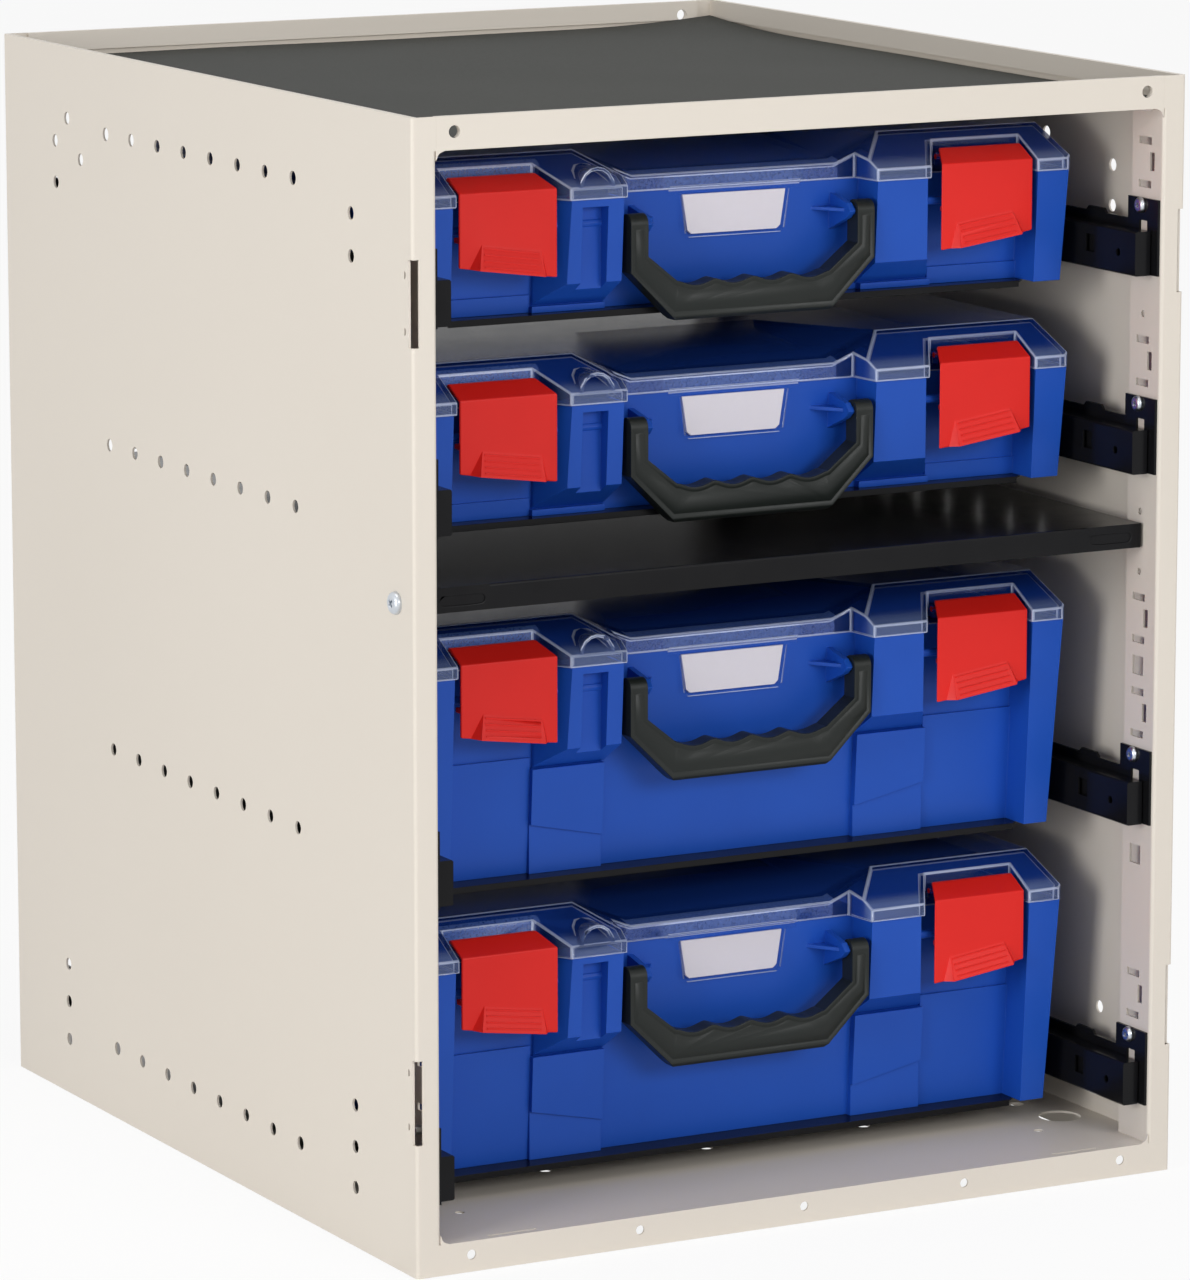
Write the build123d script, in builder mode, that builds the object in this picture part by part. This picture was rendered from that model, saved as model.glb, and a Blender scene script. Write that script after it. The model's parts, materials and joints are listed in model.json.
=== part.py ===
"""Case storage cabinet: a folded steel box with four telescopic trays,
each carrying a moulded case that lifts away by its handle.

The origin is the middle of the footprint, on the floor. X runs to the right,
the open front faces -Y, and Z is up. Sizes are in millimetres.
"""

import os
from math import radians, tan

from build123d import *

os.makedirs("parts", exist_ok=True)

# The cabinet's outside, and the sheet that it is folded from
cabinet_width = 464.0
cabinet_depth = 515.0
cabinet_height = 604.0
sheet = 1.2
bend_radius = 2.0
face_flange = 14.0
return_flange = 30.0
rail_height = 16.5
hem_width = 3.6
hem_height = 11.0
opening_corner = 5.0

half_width = cabinet_width / 2
half_depth = cabinet_depth / 2
skin_inside = half_width - sheet
opening_half = half_width - face_flange
floor_top = rail_height
deck_top = cabinet_height - rail_height + 0.3
deck_under = deck_top - sheet
floor_under = floor_top - sheet

# Holes in the side panels, as (y, z) on the panel: four rows for bolts, of which
# the end holes are true circles, and groups for accessory brackets
side_hole = 7.5
row_heights = (41.0, 213.7, 386.5, 560.0)
bolted_rows = (41.0, 560.0)
row_start = -119.9
row_pitch = 33.9
row_count = 8
group_holes = (
    (170.0, 564.0), (186.5, 550.0), (152.0, 542.5), (186.0, 526.7),
    (-188.0, 548.8), (-188.0, 526.6),
    (184.4, 76.3), (184.4, 54.2), (184.4, 32.0),
    (-186.5, 77.2), (-186.5, 54.7), (-186.5, 32.5),
)
few_sides = 8
corner_slot_width = 4.0
corner_slot_height = 45.0
corner_slot_heights = (93.5, 509.5)

# Holes in the rails and the floor
top_rail_hole = 6.5
top_rail_hole_x = 207.5
top_rail_hole_height = 596.0
rail_hole = 5.3
hole_pitch = 100.0
rail_hole_height = 9.2
floor_hole = 8.0
floor_hole_y = 150.0
foot_hole = 5.5
foot_hole_at = (180.0, 205.0)
cable_hole = 24.0
cable_hole_at = (207.0, 184.0)
cable_hole_sides = 16
drain_slot = (29.0, 2.0)
drain_slot_at = (173.5, 252.5)
upturn_height = 10.0

# The mat that lies in the tray on top
mat_thickness = 3.0
mat_half_width = 226.5
mat_half_depth = 252.5
mat_corner = 6.0

# The fixed shelf between the small cases and the large ones
shelf_front = 244.0
shelf_base = 347.0
shelf_height = 12.0
shelf_side_gap = 0.2
shelf_screw_at = (-238.2, 353.6)
shelf_screw = 6.0
shelf_screw_head = 12.0
shelf_screw_length = 20.0
emboss_x = 197.0
emboss_length = 26.0
emboss_height = 5.0
emboss_middle = 6.0

# One bay for each tray: the height of its slides, and its case's extra height
large_extra = 54.0
bays = (
    (1, 37.5, large_extra),
    (2, 194.6, large_extra),
    (3, 388.1, 0.0),
    (4, 495.9, 0.0),
)

# Telescopic slides, three nested members a side, measured from the bay's height
plate = 1.5
slide_sheet = 1.2
bracket_height = 41.0
bracket_front = 255.5
bracket_rear_edge = 226.0
bracket_window = 8.0
bracket_window_at = (241.0, 25.0)
fixed_height = 29.0
fixed_bump = (20.0, 2.5)
fixed_bump_y = -194.0
plate_face = opening_half - plate
runner_outer = 206.0
runner_inner = 215.6
runner_height = 24.0
runner_front = 250.0
runner_corner = 1.6
runner_window = (9.0, 9.6)
runner_window_at = (-205.0, 13.5)
runner_hole = 4.5
runner_hole_at = (-233.0, 11.5)
slide_rear = 235.0
middle_setback = 4.0
race_gap = 1.0
middle_web = runner_outer + 2.8
middle_open = plate_face - 1.3
fixed_race_open = middle_web + slide_sheet + 1.2
slide_screw = 5.0
slide_screw_head = 8.6
slide_screw_length = 8.0
slide_screw_at = (239.0, 36.0)

# The slots that the slides hook into: three for each bay, and a spare three,
# with larger windows and small holes between, as (y, z)
hook_slot = (12.0, 4.0)
hook_slot_y = 240.0
hook_slot_rises = (48.5, 72.0)
tall_slot = (4.4, 10.0)
tall_slot_at = (247.0, 61.0)
spare_bay = 246.9
spare_window = 10.5
spare_windows = (281.0, 176.0)
spare_hole = 4.0
spare_holes = (474.0, 366.0, 333.0)

# Trays, hung between the runners
tray_floor = 7.5
tray_front = 184.0
tray_nose_half = 182.0
tray_nose_chamfer = 8.0
tray_shoulder = 168.0
tray_neck = 12.0
tray_rear = 150.0
tray_lip = 11.0
tray_side_height = 16.0
tray_stop_height = 14.0

# Cases: a drafted body with a clear lid on its rim
case_half = 197.0
case_front = 197.0
case_back = 143.0
case_corner = 3.0
recess_front = 176.0
small_rim = 60.5
side_draft = tan(radians(2.4))
front_draft = tan(radians(3.6))
wall = 2.5
pillar_inside = 177.5
post_inner = 77.0
post_outer = 108.0
post_foot = 120.0
post_depth = 12.0
post_drop = 44.0
post_underside = 13.0
groove_width = 15.0
groove_x = -93.8
groove_depth = 9.0
groove_top = 4.0
catch_rod = 4.6
catch_rod_gap = 1.0
catch_drop = 13.3
catch_y = -187.0

# Panels on the wall below the posts and the latches
panel_inner = 78.0
panel_outer = 121.5
panel_proud = 5.0
crease_rises = (17.7, 27.1)
crease_step = 0.8
ledge_proud = 1.5
ledge_drop = 51.0

# Lids
lid_overhang = 1.5
lid_corner = 3.0
lid_band = 6.8
lid_rise = 23.5
lid_wall = 2.0
front_slope = 0.55
side_slope = 3.3
recess_lean = 2.0

# The lid's middle is lowered to a plateau: its (y, rise, half width) in front and behind
plateau_front = (-200.0, 4.7, 64.0)
plateau_back = (-101.0, 23.5, 55.0)
plateau_side = 0.4
plateau_clear = 24.0

# The hood over the finger groove, and the window in front of the label
hood_radius = 10.5
hood_wall = 2.0
hood_depth = 19.0
hood_sides = 16
window_face = 178.6
window_thickness = 1.3
window_half_top = 33.8
window_half_bottom = 30.0
window_drop = 26.0
window_corner = 2.5
window_ear = (6.0, 3.0)

# Latches, hinged in the lid's pockets and hooked under the catch rods
latch_inner = 116.6
latch_outer = 174.0
latch_taper = 7.0
latch_face = 197.0
latch_wall = 1.8
latch_pivot_y = -183.0
latch_pivot_rise = 9.8
latch_top_rise = 7.2
latch_back_rise = 14.2
latch_back_y = -181.6
latch_back_flat = 2.4
latch_inner_drop = 39.4
latch_outer_drop = 31.5
latch_slant = (latch_inner_drop - latch_outer_drop) / (latch_outer - latch_inner)
latch_pin = 3.0
latch_barrel = 5.2
latch_lip_drop = 15.9
latch_lip = (6.0, 3.0)
pin_clearance = 0.3
boss_width = 3.0
boss_size = 4.4
boss_foot = (7.0, 3.6)
boss_foot_rise = 1.4

# The wedge that a finger pulls at the foot of each latch, with its ribs
grip_middle = 145.5
grip_height = 13.6
grip_half_low = 23.0
grip_half_top = 17.4
grip_half_face = 19.2
grip_proud = 5.0
grip_nose = 0.8
rib_count = 4
rib_pitch = 3.1
rib_first = 2.2
rib_length = 33.0
rib_size = (0.9, 0.5)

# Carrying handles, hung on moulded lugs
handle_half = 74.0
handle_arm = 10.5
handle_thick = 11.5
handle_face = 199.0
handle_top_drop = 9.1
handle_height = 57.5
handle_shoulder = 31.0
handle_foot_half = 47.0
handle_bottom_chamfer = 2.0
grip_bar = 21.0
grip_bar_half = 46.0
arm_bend = 14.0
scallop_pitch = 23.0
scallop_depth = 3.2
handle_pin = 5.0
handle_cheek = 1.2
lug_thick = 3.5
lug_gap = 0.4
lug_brace = 12.0
brace_thick = 2.0

# The label behind its window under the rim
label_half_top = 31.4
label_half_bottom = 28.0
label_drop = (3.0, 24.2)
label_front = 177.2
label_depth = 3.2
label_corner = 2.0


def save(part, name):
    """Name a finished piece and write it."""
    part.label = name
    export_step(part, f"parts/{name}.step")


def mirrored(part):
    """The same piece for the other side of the cabinet."""
    return mirror(part, about=Plane.YZ)


def both_ends(*places):
    """Places given for the front, and the same ones at the back."""
    return [(end * y, z) for y, z in places for end in (-1, 1)]


def folded(points):
    """The section of a folded sheet whose outer side runs through points."""
    with BuildSketch() as section:
        with BuildLine():
            FilletPolyline(*points, radius=bend_radius)
            offset(amount=sheet, side=Side.LEFT)
        make_face()
    return section.sketch


# Side panels
def side_panel():
    """Right side: a tall pan with a face flange and a return at each end."""
    long_fold = (
        (opening_half, -half_depth + return_flange),
        (opening_half, -half_depth),
        (half_width, -half_depth),
        (half_width, half_depth),
        (opening_half, half_depth),
        (opening_half, half_depth - return_flange),
    )
    short_fold = long_fold[1:-1]
    row_ys = [row_start + row_pitch * step for step in range(row_count)]
    bolted = [(y, z) for z in bolted_rows for y in (row_ys[0], row_ys[-1])]
    plain = [(y, z) for z in row_heights for y in row_ys if (y, z) not in bolted]
    tall_y, tall_rise = tall_slot_at
    with BuildPart() as panel:
        with BuildSketch(Plane.XY.offset(floor_top)):
            add(folded(long_fold))
        extrude(amount=deck_under - floor_top)
        for start, end in ((0, floor_top), (deck_under, cabinet_height)):
            with BuildSketch(Plane.XY.offset(start)):
                add(folded(short_fold))
            extrude(amount=end - start)
        # The skin's top edge is hemmed inwards
        with BuildSketch(Plane.XY.offset(cabinet_height - hem_height)):
            with Locations((half_width - (sheet + hem_width) / 2, 0)):
                Rectangle(hem_width - sheet, cabinet_depth - 2 * sheet)
        extrude(amount=hem_height)
        with BuildSketch(Plane.YZ.offset(half_width)):
            with Locations(*bolted):
                Circle(side_hole / 2)
            with Locations(*plain, *group_holes):
                RegularPolygon(side_hole / 2, few_sides)
        extrude(amount=-2 * sheet, mode=Mode.SUBTRACT)
        with BuildSketch(Plane.YZ.offset(opening_half - sheet)):
            with Locations(shelf_screw_at):
                RegularPolygon(shelf_screw / 2, few_sides)
        extrude(amount=face_flange + 2 * sheet, mode=Mode.SUBTRACT)
        # Long slots through the front bend
        with BuildSketch(Plane.XZ.offset(half_depth)):
            with Locations(*[(half_width - corner_slot_width / 2, z) for z in corner_slot_heights]):
                Rectangle(corner_slot_width, corner_slot_height)
        extrude(amount=-corner_slot_width, mode=Mode.SUBTRACT)
        # Hook slots for the slides, and the holes of their screws
        with BuildSketch(Plane.YZ.offset(opening_half)):
            for _, base, _ in bays:
                with Locations(*both_ends(*[(hook_slot_y, base + rise) for rise in hook_slot_rises])):
                    Rectangle(*hook_slot)
                with Locations(*both_ends((tall_y, base + tall_rise))):
                    Rectangle(*tall_slot)
                with Locations(*both_ends((slide_screw_at[0], base + slide_screw_at[1]))):
                    RegularPolygon(slide_screw / 2, few_sides)
            with Locations(*[(-hook_slot_y, spare_bay + rise) for rise in hook_slot_rises]):
                Rectangle(*hook_slot)
            with Locations((-tall_y, spare_bay + tall_rise)):
                Rectangle(*tall_slot)
            with Locations(*[(-hook_slot_y, z) for z in spare_windows]):
                Rectangle(spare_window, spare_window)
            with Locations(*[(-hook_slot_y, z) for z in spare_holes]):
                RegularPolygon(spare_hole / 2, few_sides)
        extrude(amount=2 * sheet, both=True, mode=Mode.SUBTRACT)
    return panel.part


right_side = side_panel()
save(right_side, "side_panel_right")
save(mirrored(right_side), "side_panel_left")


def corner_webs(height, direction):
    """Sketch of the webs that round the opening's two corners at a rail's edge."""
    middle = opening_corner * (1 - 0.5 ** 0.5)
    with BuildSketch(Plane.XZ.offset(half_depth)) as webs:
        for side in (-1, 1):
            with BuildLine():
                Polyline(
                    (side * opening_half, height),
                    (side * opening_half, height + direction * opening_corner),
                    (side * (opening_half - middle), height + direction * middle),
                    (side * (opening_half - opening_corner), height),
                    close=True,
                )
            make_face()
    return webs.sketch


# Top panel: a shallow tray whose front and rear rails stand up
def top_panel():
    with BuildPart() as panel:
        with BuildSketch(Plane.YZ.offset(-opening_half)):
            with BuildLine():
                Polyline(
                    (-half_depth + hem_width, cabinet_height - hem_height),
                    (-half_depth + hem_width, cabinet_height),
                    (-half_depth, cabinet_height),
                    (-half_depth, deck_under),
                    (0, deck_under),
                    (0, deck_top),
                    (-half_depth + sheet, deck_top),
                    (-half_depth + sheet, cabinet_height - hem_height),
                    close=True,
                )
            make_face()
        extrude(amount=2 * opening_half)
        extrude(corner_webs(deck_under, -1), amount=-sheet)
        mirror(about=Plane.XZ)
        # Behind the side panels' flanges the deck reaches the skins
        with BuildSketch(Plane.XY.offset(deck_under)):
            Rectangle(2 * skin_inside, cabinet_depth - 2 * sheet)
            chamfer(vertices(), bend_radius)
        extrude(amount=sheet)
        with BuildSketch(Plane.XZ):
            with Locations(*[(x, top_rail_hole_height) for x in (-top_rail_hole_x, top_rail_hole_x)]):
                Circle(top_rail_hole / 2)
        extrude(amount=half_depth + 1, both=True, mode=Mode.SUBTRACT)
    return panel.part


save(top_panel(), "top_panel")


# Bottom panel: a floor whose front and rear rails turn down to the ground
def bottom_panel():
    steps = range(-2, 3)
    foot_x, foot_y = foot_hole_at
    cable_x, cable_y = cable_hole_at
    drain_x, drain_y = drain_slot_at
    with BuildPart() as panel:
        with BuildSketch(Plane.YZ.offset(-opening_half)):
            with BuildLine():
                Polyline(
                    (-half_depth, 0),
                    (-half_depth, floor_top),
                    (0, floor_top),
                    (0, floor_under),
                    (-half_depth + sheet, floor_under),
                    (-half_depth + sheet, 0),
                    close=True,
                )
            make_face()
        extrude(amount=2 * opening_half)
        extrude(corner_webs(floor_top, 1), amount=-sheet)
        mirror(about=Plane.XZ)
        with BuildSketch(Plane.XY.offset(floor_under)):
            Rectangle(2 * skin_inside, cabinet_depth - 2 * sheet)
            chamfer(vertices(), bend_radius)
        extrude(amount=sheet)
        # Side edges turned up against the skins
        with BuildSketch(Plane.XY.offset(floor_top)):
            for side in (-1, 1):
                with Locations((side * (skin_inside - sheet / 2), 0)):
                    Rectangle(sheet, 2 * (half_depth - return_flange - 2))
        extrude(amount=upturn_height)
        with BuildSketch(Plane.XY.offset(floor_top)):
            for end in (-1, 1):
                for step in steps:
                    with Locations((hole_pitch * step, end * floor_hole_y)):
                        if step in (steps[0], steps[-1]):
                            Circle(floor_hole / 2)
                        else:
                            RegularPolygon(floor_hole / 2, few_sides)
                with Locations(*[(side * foot_x, end * foot_y) for side in (-1, 1)]):
                    RegularPolygon(foot_hole / 2, few_sides)
                with Locations(*[(side * drain_x, end * drain_y) for side in (-1, 1)]):
                    Rectangle(*drain_slot)
            with Locations(*[(side * cable_x, -cable_y) for side in (-1, 1)]):
                RegularPolygon(cable_hole / 2, cable_hole_sides)
        extrude(amount=-2 * sheet, mode=Mode.SUBTRACT)
        with BuildSketch(Plane.XZ):
            with Locations(*[(hole_pitch * step, rail_hole_height) for step in (-2, 2)]):
                Circle(rail_hole / 2)
            with Locations(*[(hole_pitch * step, rail_hole_height) for step in (-1, 0, 1)]):
                RegularPolygon(rail_hole / 2, few_sides)
        extrude(amount=half_depth + 1, both=True, mode=Mode.SUBTRACT)
    return panel.part


save(bottom_panel(), "bottom_panel")

# Mat
with BuildPart() as mat:
    with BuildSketch(Plane.XY.offset(deck_top)):
        RectangleRounded(2 * mat_half_width, 2 * mat_half_depth, mat_corner)
    extrude(amount=mat_thickness)
save(mat.part, "top_mat")


# Shelf
def shelf():
    """A pan turned down on four sides, with stiffening embosses in its front."""
    shelf_half = opening_half - shelf_side_gap
    with BuildPart() as pan:
        with BuildSketch(Plane.XY.offset(shelf_base)):
            Rectangle(2 * shelf_half, 2 * shelf_front)
            chamfer(vertices(), bend_radius)
        extrude(amount=shelf_height + sheet)
        with BuildSketch(Plane.XY.offset(shelf_base)):
            Rectangle(2 * (shelf_half - sheet), 2 * (shelf_front - sheet))
        extrude(amount=shelf_height, mode=Mode.SUBTRACT)
        with BuildSketch(Plane.YZ):
            with Locations(shelf_screw_at):
                RegularPolygon(shelf_screw / 2, few_sides)
        extrude(amount=half_width, both=True, mode=Mode.SUBTRACT)
        with BuildSketch(Plane.XZ.offset(shelf_front)):
            with Locations(*[(x, shelf_base + emboss_middle) for x in (-emboss_x, emboss_x)]):
                Rectangle(emboss_length, emboss_height)
            chamfer(vertices(), emboss_height / 3)
        extrude(amount=-sheet / 2, mode=Mode.SUBTRACT)
    return pan.part


save(shelf(), "shelf")


def pan_screw(plane, shank, head, length):
    """A plain screw: the plane lies on the seat, its normal points outwards."""
    with BuildPart() as screw:
        with BuildSketch(plane):
            RegularPolygon(shank / 2, few_sides)
        extrude(amount=-length)
        with BuildSketch(plane):
            RegularPolygon(head / 2, few_sides)
        extrude(amount=head * 0.28, taper=20)
    return screw.part


shelf_screws = []
slide_screws = []
for side in (-1, 1):
    seat = Plane((side * half_width, *shelf_screw_at), z_dir=(side, 0, 0))
    shelf_screws.append(pan_screw(seat, shelf_screw, shelf_screw_head, shelf_screw_length))
    for end in (-1, 1):
        for _, base, _ in bays:
            at = (side * plate_face, end * slide_screw_at[0], base + slide_screw_at[1])
            seat = Plane(at, z_dir=(-side, 0, 0))
            slide_screws.append(pan_screw(seat, slide_screw, slide_screw_head, slide_screw_length))
save(Compound(children=shelf_screws), "shelf_screws")
save(Compound(children=slide_screws), "slide_screws")


# Slides
def fixed_rail(base):
    """Right fixed member: a plate with a bracket at each end, and its inner race."""
    race_low = base + 2 * (race_gap + slide_sheet)
    race_high = base + runner_height - 2 * (race_gap + slide_sheet)
    bump_length, bump_rise = fixed_bump
    window_y, window_rise = bracket_window_at
    screw_y, screw_rise = slide_screw_at
    with BuildPart() as rail:
        with BuildSketch(Plane.YZ.offset(plate_face)):
            with Locations((0, base + fixed_height / 2)):
                Rectangle(2 * bracket_rear_edge, fixed_height)
            with Locations(*both_ends(((bracket_front + bracket_rear_edge) / 2, base + bracket_height / 2))):
                Rectangle(bracket_front - bracket_rear_edge, bracket_height)
            with BuildLine():
                Polyline(
                    (fixed_bump_y - bump_length / 2, base + fixed_height),
                    (fixed_bump_y - bump_length / 2 + bump_rise, base + fixed_height + bump_rise),
                    (fixed_bump_y + bump_length / 2 - bump_rise, base + fixed_height + bump_rise),
                    (fixed_bump_y + bump_length / 2, base + fixed_height),
                    close=True,
                )
            make_face()
            with Locations(*both_ends((window_y, base + window_rise))):
                Rectangle(bracket_window, bracket_window, mode=Mode.SUBTRACT)
            with Locations(*both_ends((screw_y, base + screw_rise))):
                RegularPolygon(slide_screw / 2, few_sides, mode=Mode.SUBTRACT)
        extrude(amount=plate)
        with BuildSketch(Plane.XZ.offset(slide_rear)):
            for low in (race_low, race_high - slide_sheet):
                with Locations(((fixed_race_open + plate_face) / 2, low + slide_sheet / 2)):
                    Rectangle(plate_face - fixed_race_open, slide_sheet)
        extrude(amount=-2 * slide_rear)
    return rail.part


def channel(web, mouth, low, high, front, rear):
    """An open channel along Y, web towards the middle of the cabinet."""
    with BuildPart() as member:
        with BuildSketch(Plane.XZ.offset(front)):
            with BuildLine():
                Polyline(
                    (mouth, low),
                    (web, low),
                    (web, high),
                    (mouth, high),
                    (mouth, high - slide_sheet),
                    (web + slide_sheet, high - slide_sheet),
                    (web + slide_sheet, low + slide_sheet),
                    (mouth, low + slide_sheet),
                    close=True,
                )
            make_face()
        extrude(amount=-(front + rear))
        chamfer(member.edges().filter_by(Axis.Y).group_by(Axis.X)[0], slide_sheet * 0.7)
    return member.part


def middle_rail(base):
    inset = race_gap + slide_sheet
    high = base + runner_height - inset
    return channel(middle_web, middle_open, base + inset, high, runner_front - middle_setback, slide_rear)


def runner(base):
    """Right runner: a channel closed at the front by a folded end."""
    window_y, window_rise = runner_window_at
    hole_y, hole_rise = runner_hole_at
    with BuildPart() as member:
        add(channel(runner_outer, runner_inner, base, base + runner_height, runner_front, slide_rear))
        with BuildSketch(Plane.XZ.offset(runner_front)):
            with Locations(((runner_outer + runner_inner) / 2, base + runner_height / 2)):
                Rectangle(runner_inner - runner_outer, runner_height)
            chamfer(vertices(), runner_corner)
        extrude(amount=-slide_sheet)
        with BuildSketch(Plane.YZ.offset(runner_outer)):
            with Locations((window_y, base + window_rise)):
                Rectangle(*runner_window)
            with Locations((hole_y, base + hole_rise)):
                RegularPolygon(runner_hole / 2, few_sides)
        extrude(amount=slide_sheet, mode=Mode.SUBTRACT)
    return member.part


def tray(base):
    """The pan that carries a case, its sides fixed to the runners."""
    under = base - tray_floor - sheet
    neck = -tray_shoulder + tray_neck
    nose = (
        (-tray_nose_half + tray_nose_chamfer, -tray_front),
        (-tray_nose_half, -tray_front + tray_nose_chamfer),
        (-tray_nose_half, -tray_shoulder),
        (-runner_outer, neck),
        (-runner_outer, tray_rear),
    )
    outline = nose + tuple((-x, y) for x, y in reversed(nose))
    with BuildPart() as pan:
        with BuildSketch(Plane.XY.offset(under)):
            with BuildLine():
                Polyline(*outline, close=True)
            make_face()
        extrude(amount=sheet)
        # Front lip turned down
        with BuildSketch(Plane.XY.offset(base - tray_lip)):
            with Locations((0, -tray_front + sheet / 2)):
                Rectangle(2 * (tray_nose_half - tray_nose_chamfer), sheet)
        extrude(amount=tray_lip - tray_floor)
        # Sides turned up beside the runners, and a stop behind the case
        with BuildSketch(Plane.XY.offset(under)):
            for side in (-1, 1):
                with Locations((side * (runner_outer - sheet / 2), (tray_rear + neck) / 2)):
                    Rectangle(sheet, tray_rear - neck)
        extrude(amount=tray_floor + sheet + tray_side_height)
        with BuildSketch(Plane.XY.offset(under)):
            with Locations((0, tray_rear - sheet / 2)):
                Rectangle(2 * runner_outer, sheet)
        extrude(amount=tray_stop_height)
    return pan.part


# Case bodies
def front_wall(rim, z):
    """Where the drafted wall behind the pockets stands at height z."""
    return -recess_front + (rim - z) * front_draft


def body_outline(rim, z, inset):
    """The body's plan at height z: corner pillars, and the wall between them."""
    half = case_half - (rim - z) * side_draft - inset
    back = case_back - (rim - z) * side_draft - inset
    front = -case_front + (rim - z) * front_draft + inset
    recess = front_wall(rim, z) + inset
    pillar = pillar_inside + inset
    return (
        (-half, back),
        (-half, front),
        (-pillar, front),
        (-pillar, recess),
        (pillar, recess),
        (pillar, front),
        (half, front),
        (half, back),
    )


def drafted(rim, low, high, inset):
    """A solid between the body's plans at two heights."""
    with BuildPart() as form:
        for z in (low, high):
            with BuildSketch(Plane.XY.offset(z)):
                with BuildLine():
                    Polyline(*body_outline(rim, z, inset), close=True)
                make_face()
        loft(ruled=True)
    return form.part


def post(rim, side):
    """A finger post between the middle recess and a latch pocket."""
    plan = (
        (side * post_inner, -recess_front + post_depth),
        (side * post_inner, -case_front),
        (side * post_outer, -case_front),
        (side * post_foot, -recess_front),
        (side * post_foot, -recess_front + post_depth),
    )
    tip = rim - post_drop
    with BuildPart() as form:
        with BuildSketch(Plane.XY.offset(tip - 2 * post_underside)):
            with BuildLine():
                Polyline(*plan, close=True)
            make_face()
        extrude(amount=post_drop + 2 * post_underside)
        with BuildSketch(Plane.YZ):
            with BuildLine():
                Polyline(
                    (-case_front, rim),
                    (-case_front + post_drop * front_draft, tip),
                    (front_wall(rim, tip), tip - post_underside),
                    (-recess_front + 2 * wall, tip - post_underside),
                    (-recess_front + wall, rim),
                    close=True,
                )
            make_face()
        extrude(amount=case_half, both=True, mode=Mode.INTERSECT)
        if side < 0:
            with BuildSketch(Plane.XY.offset(rim - groove_top)):
                with Locations((groove_x, -case_front)):
                    Rectangle(groove_width, 2 * groove_depth)
            extrude(amount=-2 * post_drop, mode=Mode.SUBTRACT)
    return form.part


def wall_panel(rim, low, high, start, end, proud):
    """A panel that stands proud of the drafted wall, from start to end along X."""
    with BuildPart() as form:
        with BuildSketch(Plane.YZ.offset(start)):
            with BuildLine():
                Polyline(
                    (front_wall(rim, low) + 1, low),
                    (front_wall(rim, low) - proud, low),
                    (front_wall(rim, high) - proud, high),
                    (front_wall(rim, high) + 1, high),
                    close=True,
                )
            make_face()
        extrude(amount=end - start)
    return form.part


def stepped_panels(rim, base):
    """The panels under the posts, creased across, and the ones under the latches."""
    inner_rise, outer_rise = crease_rises
    creased_face = -front_wall(rim, base) + panel_proud - crease_step
    with BuildPart() as form:
        under_post = rim - post_drop - post_underside
        add(wall_panel(rim, base, under_post, panel_inner, panel_outer, panel_proud))
        if under_post - base > 2 * outer_rise:
            with BuildSketch(Plane.XZ.offset(creased_face)):
                with BuildLine():
                    Polyline(
                        (panel_inner, base),
                        (panel_outer, base),
                        (panel_outer, base + outer_rise),
                        (panel_inner, base + inner_rise),
                        close=True,
                    )
                make_face()
            extrude(amount=panel_proud, mode=Mode.SUBTRACT)
        add(wall_panel(rim, base, rim - ledge_drop, panel_outer, pillar_inside, ledge_proud))
        mirror(about=Plane.YZ)
    return form.part


def handle_pivot(rim):
    """The pivot of the handle, as (y, z)."""
    return (-handle_face + handle_thick / 2, rim - handle_top_drop - handle_thick / 2)


def handle_lugs(rim):
    """Webbed lugs on the wall, each with a stub for the handle's eye."""
    pivot_y, pivot_z = handle_pivot(rim)
    lug_face = handle_half - handle_arm - lug_gap
    lug_back = lug_face - lug_thick
    head = 4.0
    with BuildPart() as form:
        with BuildSketch(Plane.YZ.offset(lug_back)):
            with BuildLine():
                Polyline(
                    (front_wall(rim, pivot_z) + 1, pivot_z + 2 * head),
                    (pivot_y, pivot_z + head),
                    (pivot_y - head, pivot_z),
                    (pivot_y, pivot_z - head),
                    (front_wall(rim, pivot_z) + 1, pivot_z - 3 * head),
                    close=True,
                )
            make_face()
        extrude(amount=lug_thick)
        with BuildSketch(Plane.YZ.offset(lug_face)):
            with Locations((pivot_y, pivot_z)):
                RegularPolygon(handle_pin / 2, few_sides)
        extrude(amount=handle_arm - handle_cheek - lug_gap)
        # A web braces the lug towards the middle
        with BuildSketch(Plane.XY.offset(pivot_z - brace_thick / 2)):
            with BuildLine():
                Polyline(
                    (lug_back, pivot_y + 2),
                    (lug_back, front_wall(rim, pivot_z) + 1),
                    (lug_back - lug_brace, front_wall(rim, pivot_z) + 1),
                    close=True,
                )
            make_face()
        extrude(amount=brace_thick)
        mirror(about=Plane.YZ)
    return form.part


def case_body(rim, base):
    with BuildPart() as body:
        add(drafted(rim, base, rim, 0))
        upright = body.edges().filter_by(lambda edge: edge.length > small_rim - 1 and abs(edge.tangent_at(0.5).Z) > 0.9)
        chamfer(upright.group_by(Axis.Y)[-1], case_corner)
        for side in (-1, 1):
            add(post(rim, side))
        add(stepped_panels(rim, base))
        add(drafted(rim, base + wall, rim, wall), mode=Mode.SUBTRACT)
        add(handle_lugs(rim))
        # Catch rods between the posts and the pillars
        for start, end in ((-pillar_inside, -post_inner), (post_inner, pillar_inside)):
            with BuildSketch(Plane.YZ.offset(start)):
                with Locations((catch_y, rim - catch_drop)):
                    RegularPolygon(catch_rod / 2, few_sides)
            extrude(amount=end - start)
    return body.part


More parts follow.
